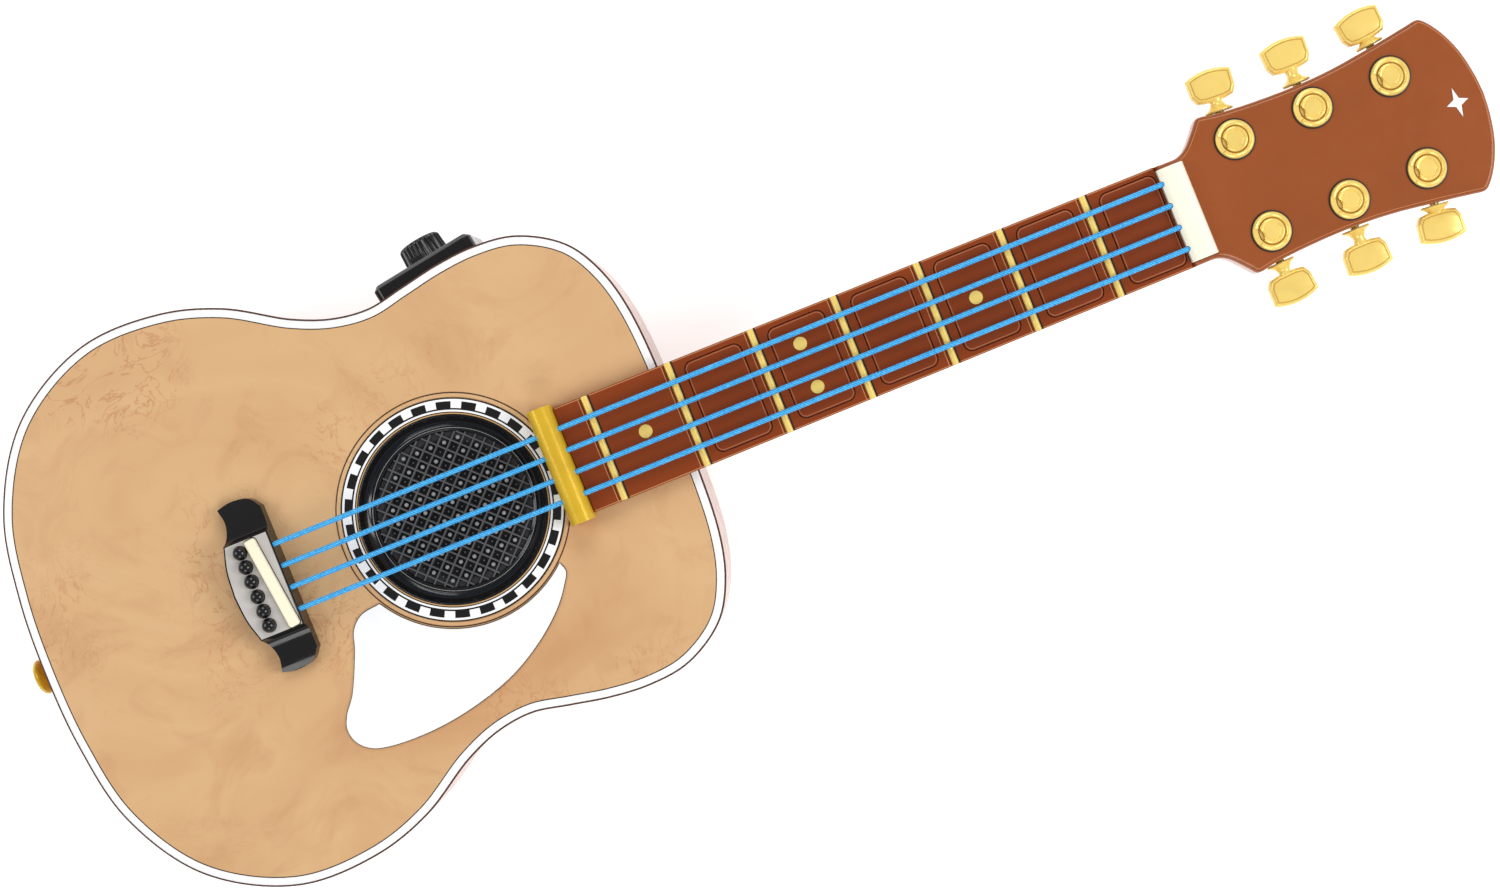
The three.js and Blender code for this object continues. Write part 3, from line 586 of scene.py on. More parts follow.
# painted shade: dark gold in the tuner posts' grooves and along their notches' edges
gold_shade_line = gold_plate("gold_shade_line", (170, 118, 40), 0.3)
# painted shade: darker gold on the ridges round the tuner wings' faces
gold_shade_edge = gold_plate("gold_shade_edge", (214, 168, 72), 0.24)
nut_white = moulded("nut_white", (252, 247, 226), 0.3, tone=0.01, texture=0.05)
# painted highlight: pale line round the top of each fret key
key_highlight_brown = moulded("key_highlight_brown", (176, 108, 74), 0.3, tone=0.06)
# painted highlight: pale lines along the fretboard's edges, beside the frets and round the headstock's rim
brown_highlight = moulded("brown_highlight", (206, 138, 92), 0.2, tone=0.06)
gold_deep = gold_plate("gold_deep", (226, 184, 44), 0.24)
blue_braid = braided_blue()
steel = moulded("steel", (176, 178, 181), 0.3, metallic=1.0, texture=0.1)
board_green = moulded("board_green", (32, 92, 58), 0.35, tone=0.15, texture=0.1)
pad_rubber = moulded("pad_rubber", (150, 150, 144), 0.7, tone=0.08, texture=0.3)
cone_paper = moulded("cone_paper", (40, 40, 43), 0.8, tone=0.12, texture=0.5, grain=900)
sleeve = cell_sleeve()


# ---- body

edge = catmull(mirrored(SOUNDBOARD_HALF), True, BODY_STEPS)


def around_hole(radius):
    """Points on a circle round the sound hole, each facing the body outline's point of the same number."""
    points = []
    for x, y in edge:
        length = math.hypot(x - HOLE_X, y)
        points.append((HOLE_X + (x - HOLE_X) / length * radius, y / length * radius))
    return points


def back_shell():
    rings = [(0.0, offset(edge, 0.2))]
    for k in range(1, 7):
        a = math.pi / 2 * k / 6
        rings.append((3.6 * (1 - math.cos(a)), offset(edge, 0.2 + 3.3 * math.sin(a))))
    rings += [
        (58.6, offset(edge, BINDING_WIDTH)), (59.0, offset(edge, BINDING_WIDTH - 0.15)),
        (59.0, offset(edge, BINDING_WIDTH - 0.5)), (54.7, offset(edge, BINDING_WIDTH - 0.5)),
        (54.7, offset(edge, BINDING_WIDTH - 2.5)), (2.5, offset(edge, 0.4)),
    ]
    shell = build("body_shell", loft(rings), brown_shell)
    x0, x1, half, roof = BAY["x0"], BAY["x1"], BAY["half"], BAY["roof"]
    carve(shell, block(x0 - 2, x1 + 2, -half - 2, half + 2, 2.2, roof + 2), "UNION")
    carve(shell, block(x0, x1, -half, half, -1, roof))
    screws = [(-84, 40), (-84, -40), (-30, 108), (-30, -108), (90, 82), (90, -82), (168, 70), (168, -70)]
    for x, y in screws:
        carve(shell, rod(x, y, 3.5, -1, 1.7, 32))
    shade(shell)
    settle(shell, ["back_shell"])
    heads = [moved(cross_screw(3.0, 1.3), at(x, y, 0.35)) for x, y in screws]
    piece("body_screws", merged(*heads), steel)


def cross_screw(radius, height):
    """A pan head seen from below, with a cross recess: ring, recess walls and floor as one surface."""
    steps = 48
    arm, reach, depth = radius * 0.16, radius * 0.62, height * 0.55

    def cross(scale):
        points = []
        for i in range(steps):
            a = 2 * math.pi * i / steps
            c, s = abs(math.cos(a)), abs(math.sin(a))
            along, beside = max(c, s), min(c, s)
            distance = min(reach / along, max(arm / max(beside, 1e-6), arm * 1.3))
            points.append((scale * distance * math.cos(a), scale * distance * math.sin(a)))
        return points

    ring = circle(0, 0, 1, steps)
    sized = lambda r: [(x * r, y * r) for x, y in ring]
    return loft([
        (height, sized(radius)), (height * 0.45, sized(radius)), (height * 0.12, sized(radius * 0.88)),
        (0.0, sized(radius * 0.7)), (0.0, cross(1.0)), (depth, cross(0.8)),
    ])


def soundboard():
    inner = [
        (0, 52.95), (-0.5, 52.85), (-0.5, 52.5), (0.3, 52.45), (0.75, 52.2), (0.95, 51.8), (0.95, 51.1),
        (0.7, 50.7), (0.2, 50.5), (-1.6, 50.45), (-1.6, 46.0), (-3, 46.0),
    ]
    rings = [(TOP - 3, offset(edge, -0.4)), (TOP - 0.2, offset(edge, -0.4)), (TOP, offset(edge, -0.6))]
    rings += [(TOP + rise, around_hole(radius)) for rise, radius in inner]
    piece("soundboard_top", loft(rings, closed=True), maple, ["soundboard"])


def binding():
    outer = BINDING_WIDTH - 0.85
    profile = [(0.0, 55.1), (outer, 55.1)]
    for k in range(6):
        a = math.pi / 2 * k / 5
        profile.append((outer - 0.9 * (1 - math.cos(a)), 59.3 + 0.9 * math.sin(a)))
    profile += [(0.3, 60.2), (0.0, 60.0)]
    rings = [(z, offset(edge, out)) for out, z in profile]
    piece("binding_strip", loft(rings, closed=True), white_gloss, ["binding"])
    # painted shade: a dark line in the gap between soundboard and binding
    line = band(edge, -0.5, 0.1, 58.6, TOP - 0.12)
    piece("binding_shade_line", line, shade_line_brown, even=False)
    # painted shade: a dark band on the shell's lip in the step below the binding
    rim = band(edge, BINDING_WIDTH - 0.02, BINDING_WIDTH - 0.9, 58.7, 59.12)
    piece("binding_rim_shade", rim, rim_shade_brown, even=False)


def rosette():
    """A flat printed ring. Its bands are (outer radius, inner radius, material number)."""
    bands = [
        (50.15, 49.8, 1), (49.8, 48.8, 0), (48.8, 45.7, "checker"), (45.7, 44.95, 1), (44.95, 44.1, 0),
        (44.1, 43.6, 1), (43.6, 43.1, 2), (43.1, 42.6, 1),
    ]
    squares = 26
    wall_z, top_z = TOP - 1.5, TOP + 0.7
    radii = [bands[0][0]] + [inner for _, inner, _ in bands]
    profile = [(wall_z, radii[0]), (top_z - 0.15, radii[0]), (top_z, radii[0] - 0.12)]
    profile += [(top_z, radius) for radius in radii[1:]] + [(wall_z, radii[-1])]
    rings = [(z, circle(HOLE_X, 0, radius, squares * 12)) for z, radius in profile]
    ring = build("rosette_ring", loft(rings, closed=True), None)
    for material in (white_gloss, black_gloss, tan_line):
        ring.data.materials.append(material)
    for polygon in ring.data.polygons:
        centre = polygon.center / MM
        x, y = centre.x - BRIDGE_X - HOLE_X, centre.y
        radius = math.hypot(x, y)
        for outer, inner, kind in bands:
            if inner <= radius <= outer:
                turn = math.atan2(y, x) / (2 * math.pi) * squares
                dark = (turn - math.floor(turn)) < 0.55
                polygon.material_index = (1 if dark else 0) if kind == "checker" else kind
    settle(ring, ["rosette"], even=False)
    # painted shade: a dark ring in the groove round the rosette's lip
    line = [(52.98, TOP - 0.5), (52.98, TOP + 0.06), (52.5, TOP + 0.06), (52.5, TOP - 0.5)]
    piece("rosette_shade_line", hole_ring(line, 200), shade_line_brown, even=False)


def grille():
    """Funnel rim, lattice of crossed bars over a dark floor disc of painted shade, and a stud in each
    opening; the bars, studs and a thin ring are grey as painted highlight.
    """
    rim_profile = [
        (42.5, 57.0), (42.5, 60.3), (42.2, 60.55), (41.9, 60.3), (41.4, 59.2), (39.9, 57.2), (38.0, 55.9),
        (37.3, 55.8), (37.1, 56.3), (36.7, 56.3), (36.5, 55.6), (35.6, 55.3), (35.2, 54.6), (35.2, 52.6),
        (42.5, 52.6),
    ]
    piece("grille_rim", hole_ring(rim_profile, 180), black_gloss)
    # painted shade: a dark disc filling the openings under the lattice
    shade_disc = moved(lathe([(0, 52.7), (35.3, 52.7), (35.3, 53.2), (0, 53.2)], 96), at(HOLE_X, 0))
    piece("grille_shade_floor", shade_disc, hollow_shade_black)
    pitch, radius, low, high = 6.6 / math.sqrt(2), 35.3, 53.3, 55.5
    reach = int(radius / pitch) + 1
    bars = []
    for turn in (45, -45):
        for i in range(-reach, reach + 1):
            y = i * pitch
            half = math.sqrt(max(0.0, radius ** 2 - y ** 2))
            if half < 3:
                continue
            top = high - (0.0 if turn > 0 else 0.12)
            section = [(y - 0.5, low), (y + 0.5, low), (y + 0.34, top - 0.12), (y + 0.2, top),
                       (y - 0.2, top), (y - 0.34, top - 0.12)]
            bars.append(moved(prism(section, -half, half, along_neck), at(HOLE_X, 0) @ turned(turn, "Z")))
    # painted highlight: black bars coloured grey
    piece("grille_lattice", merged(*bars), lattice_highlight_grey, ["speaker_grille"], even=False)
    studs, beads = [], []
    for i in range(-reach, reach):
        for j in range(-reach, reach):
            x, y = (i - j) * pitch / math.sqrt(2), (i + j + 1) * pitch / math.sqrt(2)
            if math.hypot(x, y) > radius - 2.6:
                continue
            large = (i + j) % 2 == 0
            width, height = (1.0, 1.8) if large else (0.5, 0.8)
            dome = [(0.0, 53.1), (width, 53.1)]
            for share, rise in ((1.0, 0.6), (0.85, 0.85), (0.5, 1.0), (0.0, 1.04)):
                dome.append((width * share, 53.2 + height * rise))
            (studs if large else beads).append(moved(lathe(dome, 14), at(HOLE_X + x, y)))
    piece("grille_studs", merged(*studs), stud_highlight_grey, even=False)
    piece("grille_beads", merged(*beads), lattice_highlight_grey, even=False)
    # painted highlight: a thin pale grey ring at the funnel's inner edge
    trim = [(37.05, 56.2), (37.05, 56.55), (36.9, 56.65), (36.75, 56.55), (36.75, 56.2)]
    piece("grille_highlight_trim", hole_ring(trim, 160), stud_highlight_grey, even=False)


def pickguard():
    outer = [
        (44.6, -26.9), (35.1, -28.6), (29.7, -33.6), (27, -41.3), (23.3, -50), (17.8, -60.8), (12.4, -68),
        (10.2, -74), (11.7, -80.6), (16.7, -85.5), (24.3, -87.9), (44.1, -88.8), (65.7, -86), (87.6, -79.4),
        (105.1, -69.6), (118.2, -58.7), (125.1, -50), (128, -44.6), (126.7, -40.2),
    ]
    outline = catmull(outer, False, 150)
    start = math.atan2(outline[-1][1], outline[-1][0] - HOLE_X)
    end = math.atan2(outline[0][1], outline[0][0] - HOLE_X)
    for i in range(1, 60):
        angle = start + (end - start) * i / 60
        outline.append((HOLE_X + 53.7 * math.cos(angle), 53.7 * math.sin(angle)))
    piece(
        "pickguard_plate", loft(slab_rings(outline, TOP + 0.1, TOP + 1.1, top=0.4)), white_gloss,
        ["pickguard"])
    # painted shade: a dark outline showing round the pickguard's edge
    shade_border = loft(slab_rings(offset(outline, 0.3), TOP, TOP + 0.4, top=0.1))
    piece("pickguard_shade_border", shade_border, edge_shade_black)


# ---- bridge

def bridge_outline(front, inset):
    shoulder, corner = (-8.6 + inset, 22.5), (-6.4 + inset, 39.3 - inset)
    bulge = catmull([(-12.6 + inset, 0), (-11.5 + inset, 12), shoulder], False, 14)
    side = catmull([shoulder, (-6.6 + inset, 26), (-5.0 + inset, 32.5), corner], False, 16)
    end = catmull([corner, (0.6, 40.6 - inset), (9.0, 38.9 - inset), (front, 34 - inset)], False, 16)
    return mirrored(bulge[:-1] + side[:-1] + end + [(front, 17), (front, 0)])


def bridge():
    block_rings = [
        (TOP, bridge_outline(BRIDGE_FRONT, 0)), (TOP + 1.5, bridge_outline(BRIDGE_FRONT - 0.05, 0.05)),
        (71.0, bridge_outline(BRIDGE_FRONT - 0.5, 0.5)),
    ]
    body = build("bridge_block", loft(block_rings), black_gloss)
    ramp = catmull([
        (22.5, 71.0), (23.1, 69.4), (24.4, 67.6), (27.2, 66.3), (31, 66.0), (35, 65.7), (38.5, 64.8),
        (42, 62.8),
    ], False, 30)
    for side in (1, -1):
        profile = [(y * side, z) for y, z in ramp + [(45, 62.8), (45, 76), (22.5, 76)]]
        carve(body, prism(profile, -22, 22, along_neck))
    for y in STRING_ROWS:
        carve(body, string_bore(y, 1.55, 6.7, 20))
    soften(body, 0.55, 4)
    settle(body, ["bridge"])


def saddle_points(grow):
    blank = rounded_rectangle(6.5, -0.25, 5.2 + 2 * grow, 43.5 + 2 * grow, 1.3 + grow, 6)
    return turned_points(blank, 6.8, (6.5, -0.25))


def bridge_top():
    bulge = catmull([(-11.2, 0), (-10.1, 12), (-7.4, 22.0)], False, 14)
    outline = mirrored(bulge + [(12.0, 22.0), (12.0, 0)])
    plate = build("bridge_cover", prism(outline, 70.9, 71.9), grey_paint)
    carve(plate, prism(saddle_points(0.5), 70, 73))
    for y in PIN_ROWS:
        carve(plate, rod(-1.9, y, 3.35, 70, 73, 40))
    soften(plate, 0.3, 3)
    settle(plate, ["bridge_plate"])
    piece(
        "saddle_bar", loft(slab_rings(saddle_points(0), 71.0, 74.2, top=1.2, steps=6)), cream,
        ["saddle"])
    pin = [(0.0, 69.5), (3.0, 69.5), (3.0, 71.6)]
    for degrees in range(-18, 90, 9):
        a = math.radians(degrees)
        pin.append((3.15 * math.cos(a), 72.7 + 3.0 * math.sin(a)))
    pins = [moved(lathe(pin + [(0.0, 75.7)], 48), at(-1.9, y)) for y in PIN_ROWS]
    piece("bridge_pin_row", merged(*pins), black_gloss, ["bridge_pins"])


# ---- strings and bar

def strings():
    """Round braid: each tube swells where yarns of the two hands pass over one another."""
    around, step, lay = 18, 0.4, 2.6
    x0, x1 = 7.6, 445.8
    count = int((x1 - x0) / step)
    for i, y in enumerate(STRING_ROWS):
        rings = []
        for k in range(count + 1):
            x = x0 + step * k
            points = []
            for j in range(around):
                a = 2 * math.pi * j / around
                braid = math.cos(4 * a + 2 * math.pi * x / lay) * math.cos(4 * a - 2 * math.pi * x / lay)
                radius = STRING_RADIUS * (0.96 + 0.04 * braid)
                points.append((y + radius * math.cos(a), STRING_Z + radius * math.sin(a)))
            rings.append((x, points))
        piece(f"cord_string_{i + 1}", loft(rings, along_neck), blue_braid, [f"string_{i + 1}"],
              even=False, sharp=80)


def string_bar():
    middle, radius = (BAR["x0"] + BAR["x1"]) / 2, (BAR["x1"] - BAR["x0"]) / 2
    profile = [(BAR["x0"], BAR["bottom"]), (BAR["x1"], BAR["bottom"])]
    for k in range(33):
        a = math.pi * k / 32
        profile.append((middle + radius * math.cos(a), BAR["top"] - radius * (1 - math.sin(a))))
    half = BAR["half"]
    bar = build("string_bar_cap", prism(profile, -half, half, across_neck), gold_deep)
    for y in STRING_ROWS:
        carve(bar, string_bore(y, 1.5, 130, 160))
    soften(bar, 0.9, 4, 50)
    settle(bar, ["string_bar"])
    post = block(146.3, 150.1, -half + 0.6, half - 0.6, TOP, BAR["bottom"] + 0.3)
    foot = build("string_bar_foot", post, gold_deep)
    soften(foot, 0.2, 2)
    settle(foot)


# ---- neck

def half_neck(x):
    share = (x - FRETBOARD["x0"]) / (FRETBOARD["x1"] - FRETBOARD["x0"])
    return FRETBOARD["half_body"] + (FRETBOARD["half_nut"] - FRETBOARD["half_body"]) * share


def neck_section(x, bottom):
    points = []
    for i in range(41):
        a = math.pi + math.pi * i / 40
        depth = abs(math.sin(a)) ** 0.8 * (NECK_TOP - bottom)
        points.append((half_neck(x) * math.cos(a), NECK_TOP - depth))
    return points


def head_outline(start):
    half = catmull([p for p in HEAD_HALF if p[0] >= start - 0.01], False, 170)
    return mirrored(half[:-1] + [(half[-1][0], 0.0)])


def neck():
    bottoms = [
        (201.2, 18.0), (203, 18.0), (216.5, 18.0), (218, 19.2), (219.6, 22.5), (221.5, 27.5), (224.4, 33),
        (228.5, 38), (234, 41.8), (241, 44.2), (250, 45.4), (270, 45.8), (340, 46), (420, 46.6),
        (438, 47.2), (448, 48.2), (456, 49.3),
    ]
    shell = build("neck_back", loft([(x, neck_section(x, z)) for x, z in bottoms], along_neck), brown_shell)
    carve(shell, block(210, 444, -19.5, 19.5, 55.8, 62))
    soften(shell, 0.35, 2, 50)
    settle(shell, ["neck_shell"])
    slab = loft(slab_rings(head_outline(446), HEAD_BOTTOM, NECK_TOP, bottom=2.6, steps=6))
    head = build("head_back", slab, brown_shell)
    for x, fan, _ in TUNERS:
        for side in (1, -1):
            bore = lathe([(0, 28), (2.6, 28), (2.6, 60), (0, 60)], 24)
            carve(head, moved(bore, tuner_matrix(x, fan, side)))
    soften(head, 0.3, 2, 50)
    settle(head)
    screws = [(262, 0), (420, 0), (474, 0), (572, 0)]
    heads = []
    for x, y in screws:
        z = HEAD_BOTTOM if x > 460 else 45.9
        heads.append(moved(cross_screw(2.7, 1.4), at(x, y, z - 0.35)))
    piece("neck_screws", merged(*heads), steel)


def fret_x(i):
    return node_middle(f"fret_{i}")[0]


def key_x(i):
    return (fret_x(i + 1) + (fret_x(i + 2) if i < 6 else fret_x(7) + fret_x(7) - fret_x(6))) / 2


def fretboard():
    x0, x1, top = FRETBOARD["x0"], FRETBOARD["x1"], FRETBOARD["top"]
    outline = [(x0, -half_neck(x0)), (x1, -half_neck(x1)), (x1, half_neck(x1)), (x0, half_neck(x0))]
    board = build("fretboard_plate", prism(outline, 60.5, top), brown_board)
    for i in range(1, 8):
        x = fret_x(i)
        carve(board, block(x - 2.9, x + 1.75, -30, 30, top - 0.45, top + 1))
    for i in range(1, 7):
        hole = rounded_rectangle(key_x(i), 0, 27.5, 43.7, 3.95)
        carve(board, prism(hole, 50, 70))
    soften(board, 0.35, 3, 50)
    settle(board, ["fretboard"])
    # painted highlight: pale strips along the fretboard's long edges
    highlight_rails = []
    for side in (1, -1):
        corners = ((x0, 0.5, 0.75), (x1, -0.5, 0.75), (x1, -0.5, 0.4), (x0, 0.5, 0.4))
        strip = [(x + step, side * (half_neck(x) - inset)) for x, step, inset in corners]
        highlight_rails.append(prism(strip, top - 0.3, top + 0.04))
    piece("fretboard_highlight_rails", merged(*highlight_rails), brown_highlight, even=False)


def frets():
    profile = [(-1.55, 65.6), (1.55, 65.6), (1.55, 66.1)]
    for degrees in range(10, 171, 16):
        a = math.radians(degrees)
        profile.append((1.5 * math.cos(a), 66.2 + 1.2 * math.sin(a)))
    profile += [(-1.55, 66.1)]
    for i in range(1, 8):
        x = fret_x(i)
        half = half_neck(x) - 0.15
        shape = prism([(x + dx, z) for dx, z in profile], -half, half, across_neck)
        fret = build(f"fret_wire_{i}", shape, gold)
        soften(fret, 0.3, 3, 50)
        settle(fret, [f"fret_{i}"])
        top_z = FRETBOARD["top"]
        # painted shade: a dark strip along the fret's side away from the bridge
        dark = block(x + 1.56, x + 2.4, -half, half, top_z - 0.4, top_z + 0.06)
        piece(f"fret_seam_{i}", dark, edge_shade_black)
        # painted highlight: a pale strip at the fret slot's edge on the bridge side
        pale = block(x - 3.1, x - 2.75, -half, half, top_z - 0.4, top_z + 0.06)
        piece(f"fret_ledge_{i}", pale, brown_highlight)


def inlay_dot(name, x, y, base, body):
    profile = [(0, -0.8), (3.15, -0.8), (3.15, 0.1), (3.0, 0.3), (2.6, 0.38), (0, 0.45)]
    piece(name, moved(lathe(profile, 40), at(x, y, base)), gold, body=body)


def fret_keys():
    top = 66.4
    for i in range(1, 7):
        x = key_x(i)
        outline = rounded_rectangle(x, 0, 26.8, 43.0, 3.6)
        node = f"fret_key_{i}"
        slab = loft(slab_rings(outline, 62.0, top, top=0.4, bottom=0.2, steps=5))
        piece(f"press_key_{i}", slab, brown_key, [node], body=node)
        # painted highlight: a pale band just inside the key's rounded top edge
        line = band(outline, -0.45, -0.8, top - 0.3, top + 0.04)
        piece(f"key_line_{i}", line, key_highlight_brown, body=node, even=False)
    inlay_dot("dot_board", (fret_x(1) + fret_x(2)) / 2, 0, FRETBOARD["top"], "guitar")
    inlay_dot("dot_key_2a", key_x(2) - 1.2, 10.4, top, "fret_key_2")
    inlay_dot("dot_key_2b", key_x(2) - 1.2, -10.4, top, "fret_key_2")
    inlay_dot("dot_key_4", key_x(4) - 0.6, 0, top, "fret_key_4")


def nut():
    x0, x1, top = NUT["x0"], NUT["x1"], NUT["top"]
    profile = [(x0, NECK_TOP + 0.1), (x1, NECK_TOP + 0.1)]
    profile += catmull([
        (x1, 68.4), (x1 - 1.0, 70.4), (x1 - 3.6, 71.2), (x1 - 6.4, top), (x0 + 2.2, 71.3), (x0, 69.9),
    ], False, 24)
    bar = build("nut_block", prism(profile, -NUT["half"], NUT["half"], across_neck), nut_white)
    for y in STRING_ROWS:
        carve(bar, string_bore(y, 1.5, 430, 446.5))
    soften(bar, 0.6, 4, 45)
    settle(bar, ["nut"])


# ---- headstock

def headstock():
    outline = head_outline(NUT["x0"])
    rim = [
        (60.5, 0), (62.7, 0), (63.3, -0.12), (63.9, -0.5), (64.35, -1.0), (64.6, -1.5), (64.75, -1.6),
        (64.98, -1.75), (65.1, -2.0), (65.1, -2.3), (65.0, -2.7),
    ]
    face = build("headstock_plate", loft([(z, offset(outline, inset)) for z, inset in rim]), brown_face)
    carve(face, block(430, NUT["x1"] + 0.3, -22.3, 22.3, 50, 80))
    for x, y in POST_PLACES:
        carve(face, rod(x, y, 9.35, 50, 80, 64))
    soften(face, 0.25, 2, 60)
    settle(face, ["headstock_face"])
    # painted highlight: a pale ring on the bevel of the headstock's rim
    highlight_ring = build("headstock_highlight_ring", band(outline, -1.45, -1.85, 64.2, 64.92), brown_highlight)
    carve(highlight_ring, block(430, NUT["x1"] + 0.3, -40, 40, 50, 80))
    settle(highlight_ring, even=False)
    star = []
    for i in range(8):
        reach = 7.0 if i % 2 == 0 else 2.4
        star.append((577.5 + reach * math.cos(math.pi * i / 4) * 0.75, reach * math.sin(math.pi * i / 4)))
    inlay = build("headstock_star", prism(star, HEAD_TOP - 0.4, HEAD_TOP + 0.55), white_gloss)
    soften(inlay, 0.22, 3, 30)
    settle(inlay, ["headstock_inlay"])


def tuner_posts():
    profile = [
        (0, 60.6), (8.75, 60.6), (8.75, 65.8), (8.6, 66.3), (8.2, 66.75), (7.6, 67.0), (6.9, 66.8),
        (6.3, 66.2), (6.1, 65.7), (5.8, 65.7), (5.7, 66.8), (5.4, 67.3), (5.0, 67.5), (4.4, 67.4),
        (4.05, 66.95), (3.85, 66.95), (3.6, 67.25), (0, 67.3),
    ]
    # painted shade: a dark ring in the gap between each post and its hole
    gap = [(9.5, 64.6), (9.5, 65.22), (8.78, 65.3), (8.78, 64.6)]
    # painted shade: a dark gold ring in each post's groove and a dark gold arc along its notch
    step = [(6.15, 65.5), (6.15, 66.35), (5.75, 66.35), (5.75, 65.5)]
    gap_shades, groove_shades = [], []
    for i, (x, y) in enumerate(POST_PLACES, 1):
        post = build(f"tuner_cap_{i}", moved(lathe(profile, 72), at(x, y)), gold)
        carve(post, rod(x - NOTCH_X, y, 4.4, 66.35, 69, 40))
        soften(post, 0.12, 2, 45)
        shade(post, 32)
        settle(post, [f"tuner_post_{i}"])
        gap_shades.append(moved(lathe(gap, 72, closed=True), at(x, y)))
        groove_shades.append(moved(lathe(step, 72, closed=True), at(x, y)))
        notch = arc(x - NOTCH_X, y, 4.75, -34, 35, 4) + arc(x - NOTCH_X, y, 4.35, 34, -35, -4)
        groove_shades.append(prism(notch, 66.0, 67.48))
    piece("post_gap_shades", merged(*gap_shades), shade_line_brown, even=False)
    piece("post_groove_shades", merged(*groove_shades), gold_shade_line, even=False)


def tuner_matrix(x, fan, side):
    """Puts a piece turned about z on a tuner's axis, z pointing out of the headstock's edge."""
    turn = -fan if side > 0 else 180 + fan
    return at(x, 0, TUNER_Z) @ turned(turn, "Z") @ turned(-90, "X")


def paddle_outline():
    """Tuner wing in the plane x, z about the stem's z axis."""
    half = PADDLE["half"]
    top = [(half, 54.2), (7.8, 55.4), (3.9, 56.3), (0, 56.6), (-3.9, 56.3), (-7.8, 55.4), (-half, 54.2)]
    bottom = [(-half + 0.4, 46.0), (-8.4, 42.8), (-4.6, 42.0), (4.6, 42.0), (8.4, 42.8), (half - 0.4, 46.0)]
    return resampled(top + bottom, 120)


def paddle_ring(y, inset):
    across, along = 1 - inset / PADDLE["half"], 1 - inset / PADDLE["reach"]
    middle = PADDLE["middle"]
    return (y, [(x * across, middle + (z - middle) * along) for x, z in paddle_outline()])


def paddle_rims():
    """Thin ridge that runs round both faces of a wing."""
    rims = []
    for side in (1, -1):
        corners = ((3.2, 1.5), (3.48, 1.5), (3.48, 2.0), (3.2, 2.0))
        rims.append(loft([paddle_ring(side * y, inset) for y, inset in corners], across_neck, closed=True))
    return merged(*rims)


def paddle_shape():
    """The whole wing, thick along y, with rounded faces."""
    half = [(1.8, 0), (2.5, 0.25), (3.25, 0.9), (3.4, 1.3)]
    both = [(-y, inset) for y, inset in reversed(half)] + half
    return loft([paddle_ring(y, inset) for y, inset in both], across_neck)


def tuner_keys():
    number = 0
    for side in (1, -1):
        for x, fan, rim in TUNERS:
            number += 1
            profile = [
                (0, 30.5), (2.1, 30.5), (2.1, rim + 0.8), (6.2, rim + 0.8), (6.5, rim + 1.1),
                (6.6, rim + 1.6), (6.2, rim + 2.0), (5.2, rim + 2.4), (4.2, rim + 3.1), (3.3, rim + 4.1),
                (2.7, rim + 5.4), (3.2, 42.4), (3.2, 43.6), (1.6, 44.6), (0, 44.8),
            ]
            shape = merged(lathe(profile, 40), paddle_shape())
            node, here = f"tuner_key_{number}", tuner_matrix(x, fan, side)
            rims = moved(paddle_rims(), here)
            piece(f"tuner_wing_{number}", moved(shape, here), gold, [node], node, False, 50)
            # painted shade: the wing's ridges in darker gold
            piece(f"wing_rims_{number}", rims, gold_shade_edge, (), node, False, 50)


# ---- controls

def control_matrix(along, z):
    """Puts a piece turned about z on the control plate's face, z pointing out of it."""
    plate = at(CONTROL["x"], CONTROL["y"]) @ turned(CONTROL["tilt"], "Z")
    return plate @ at(along, 0, z) @ turned(-90, "X")


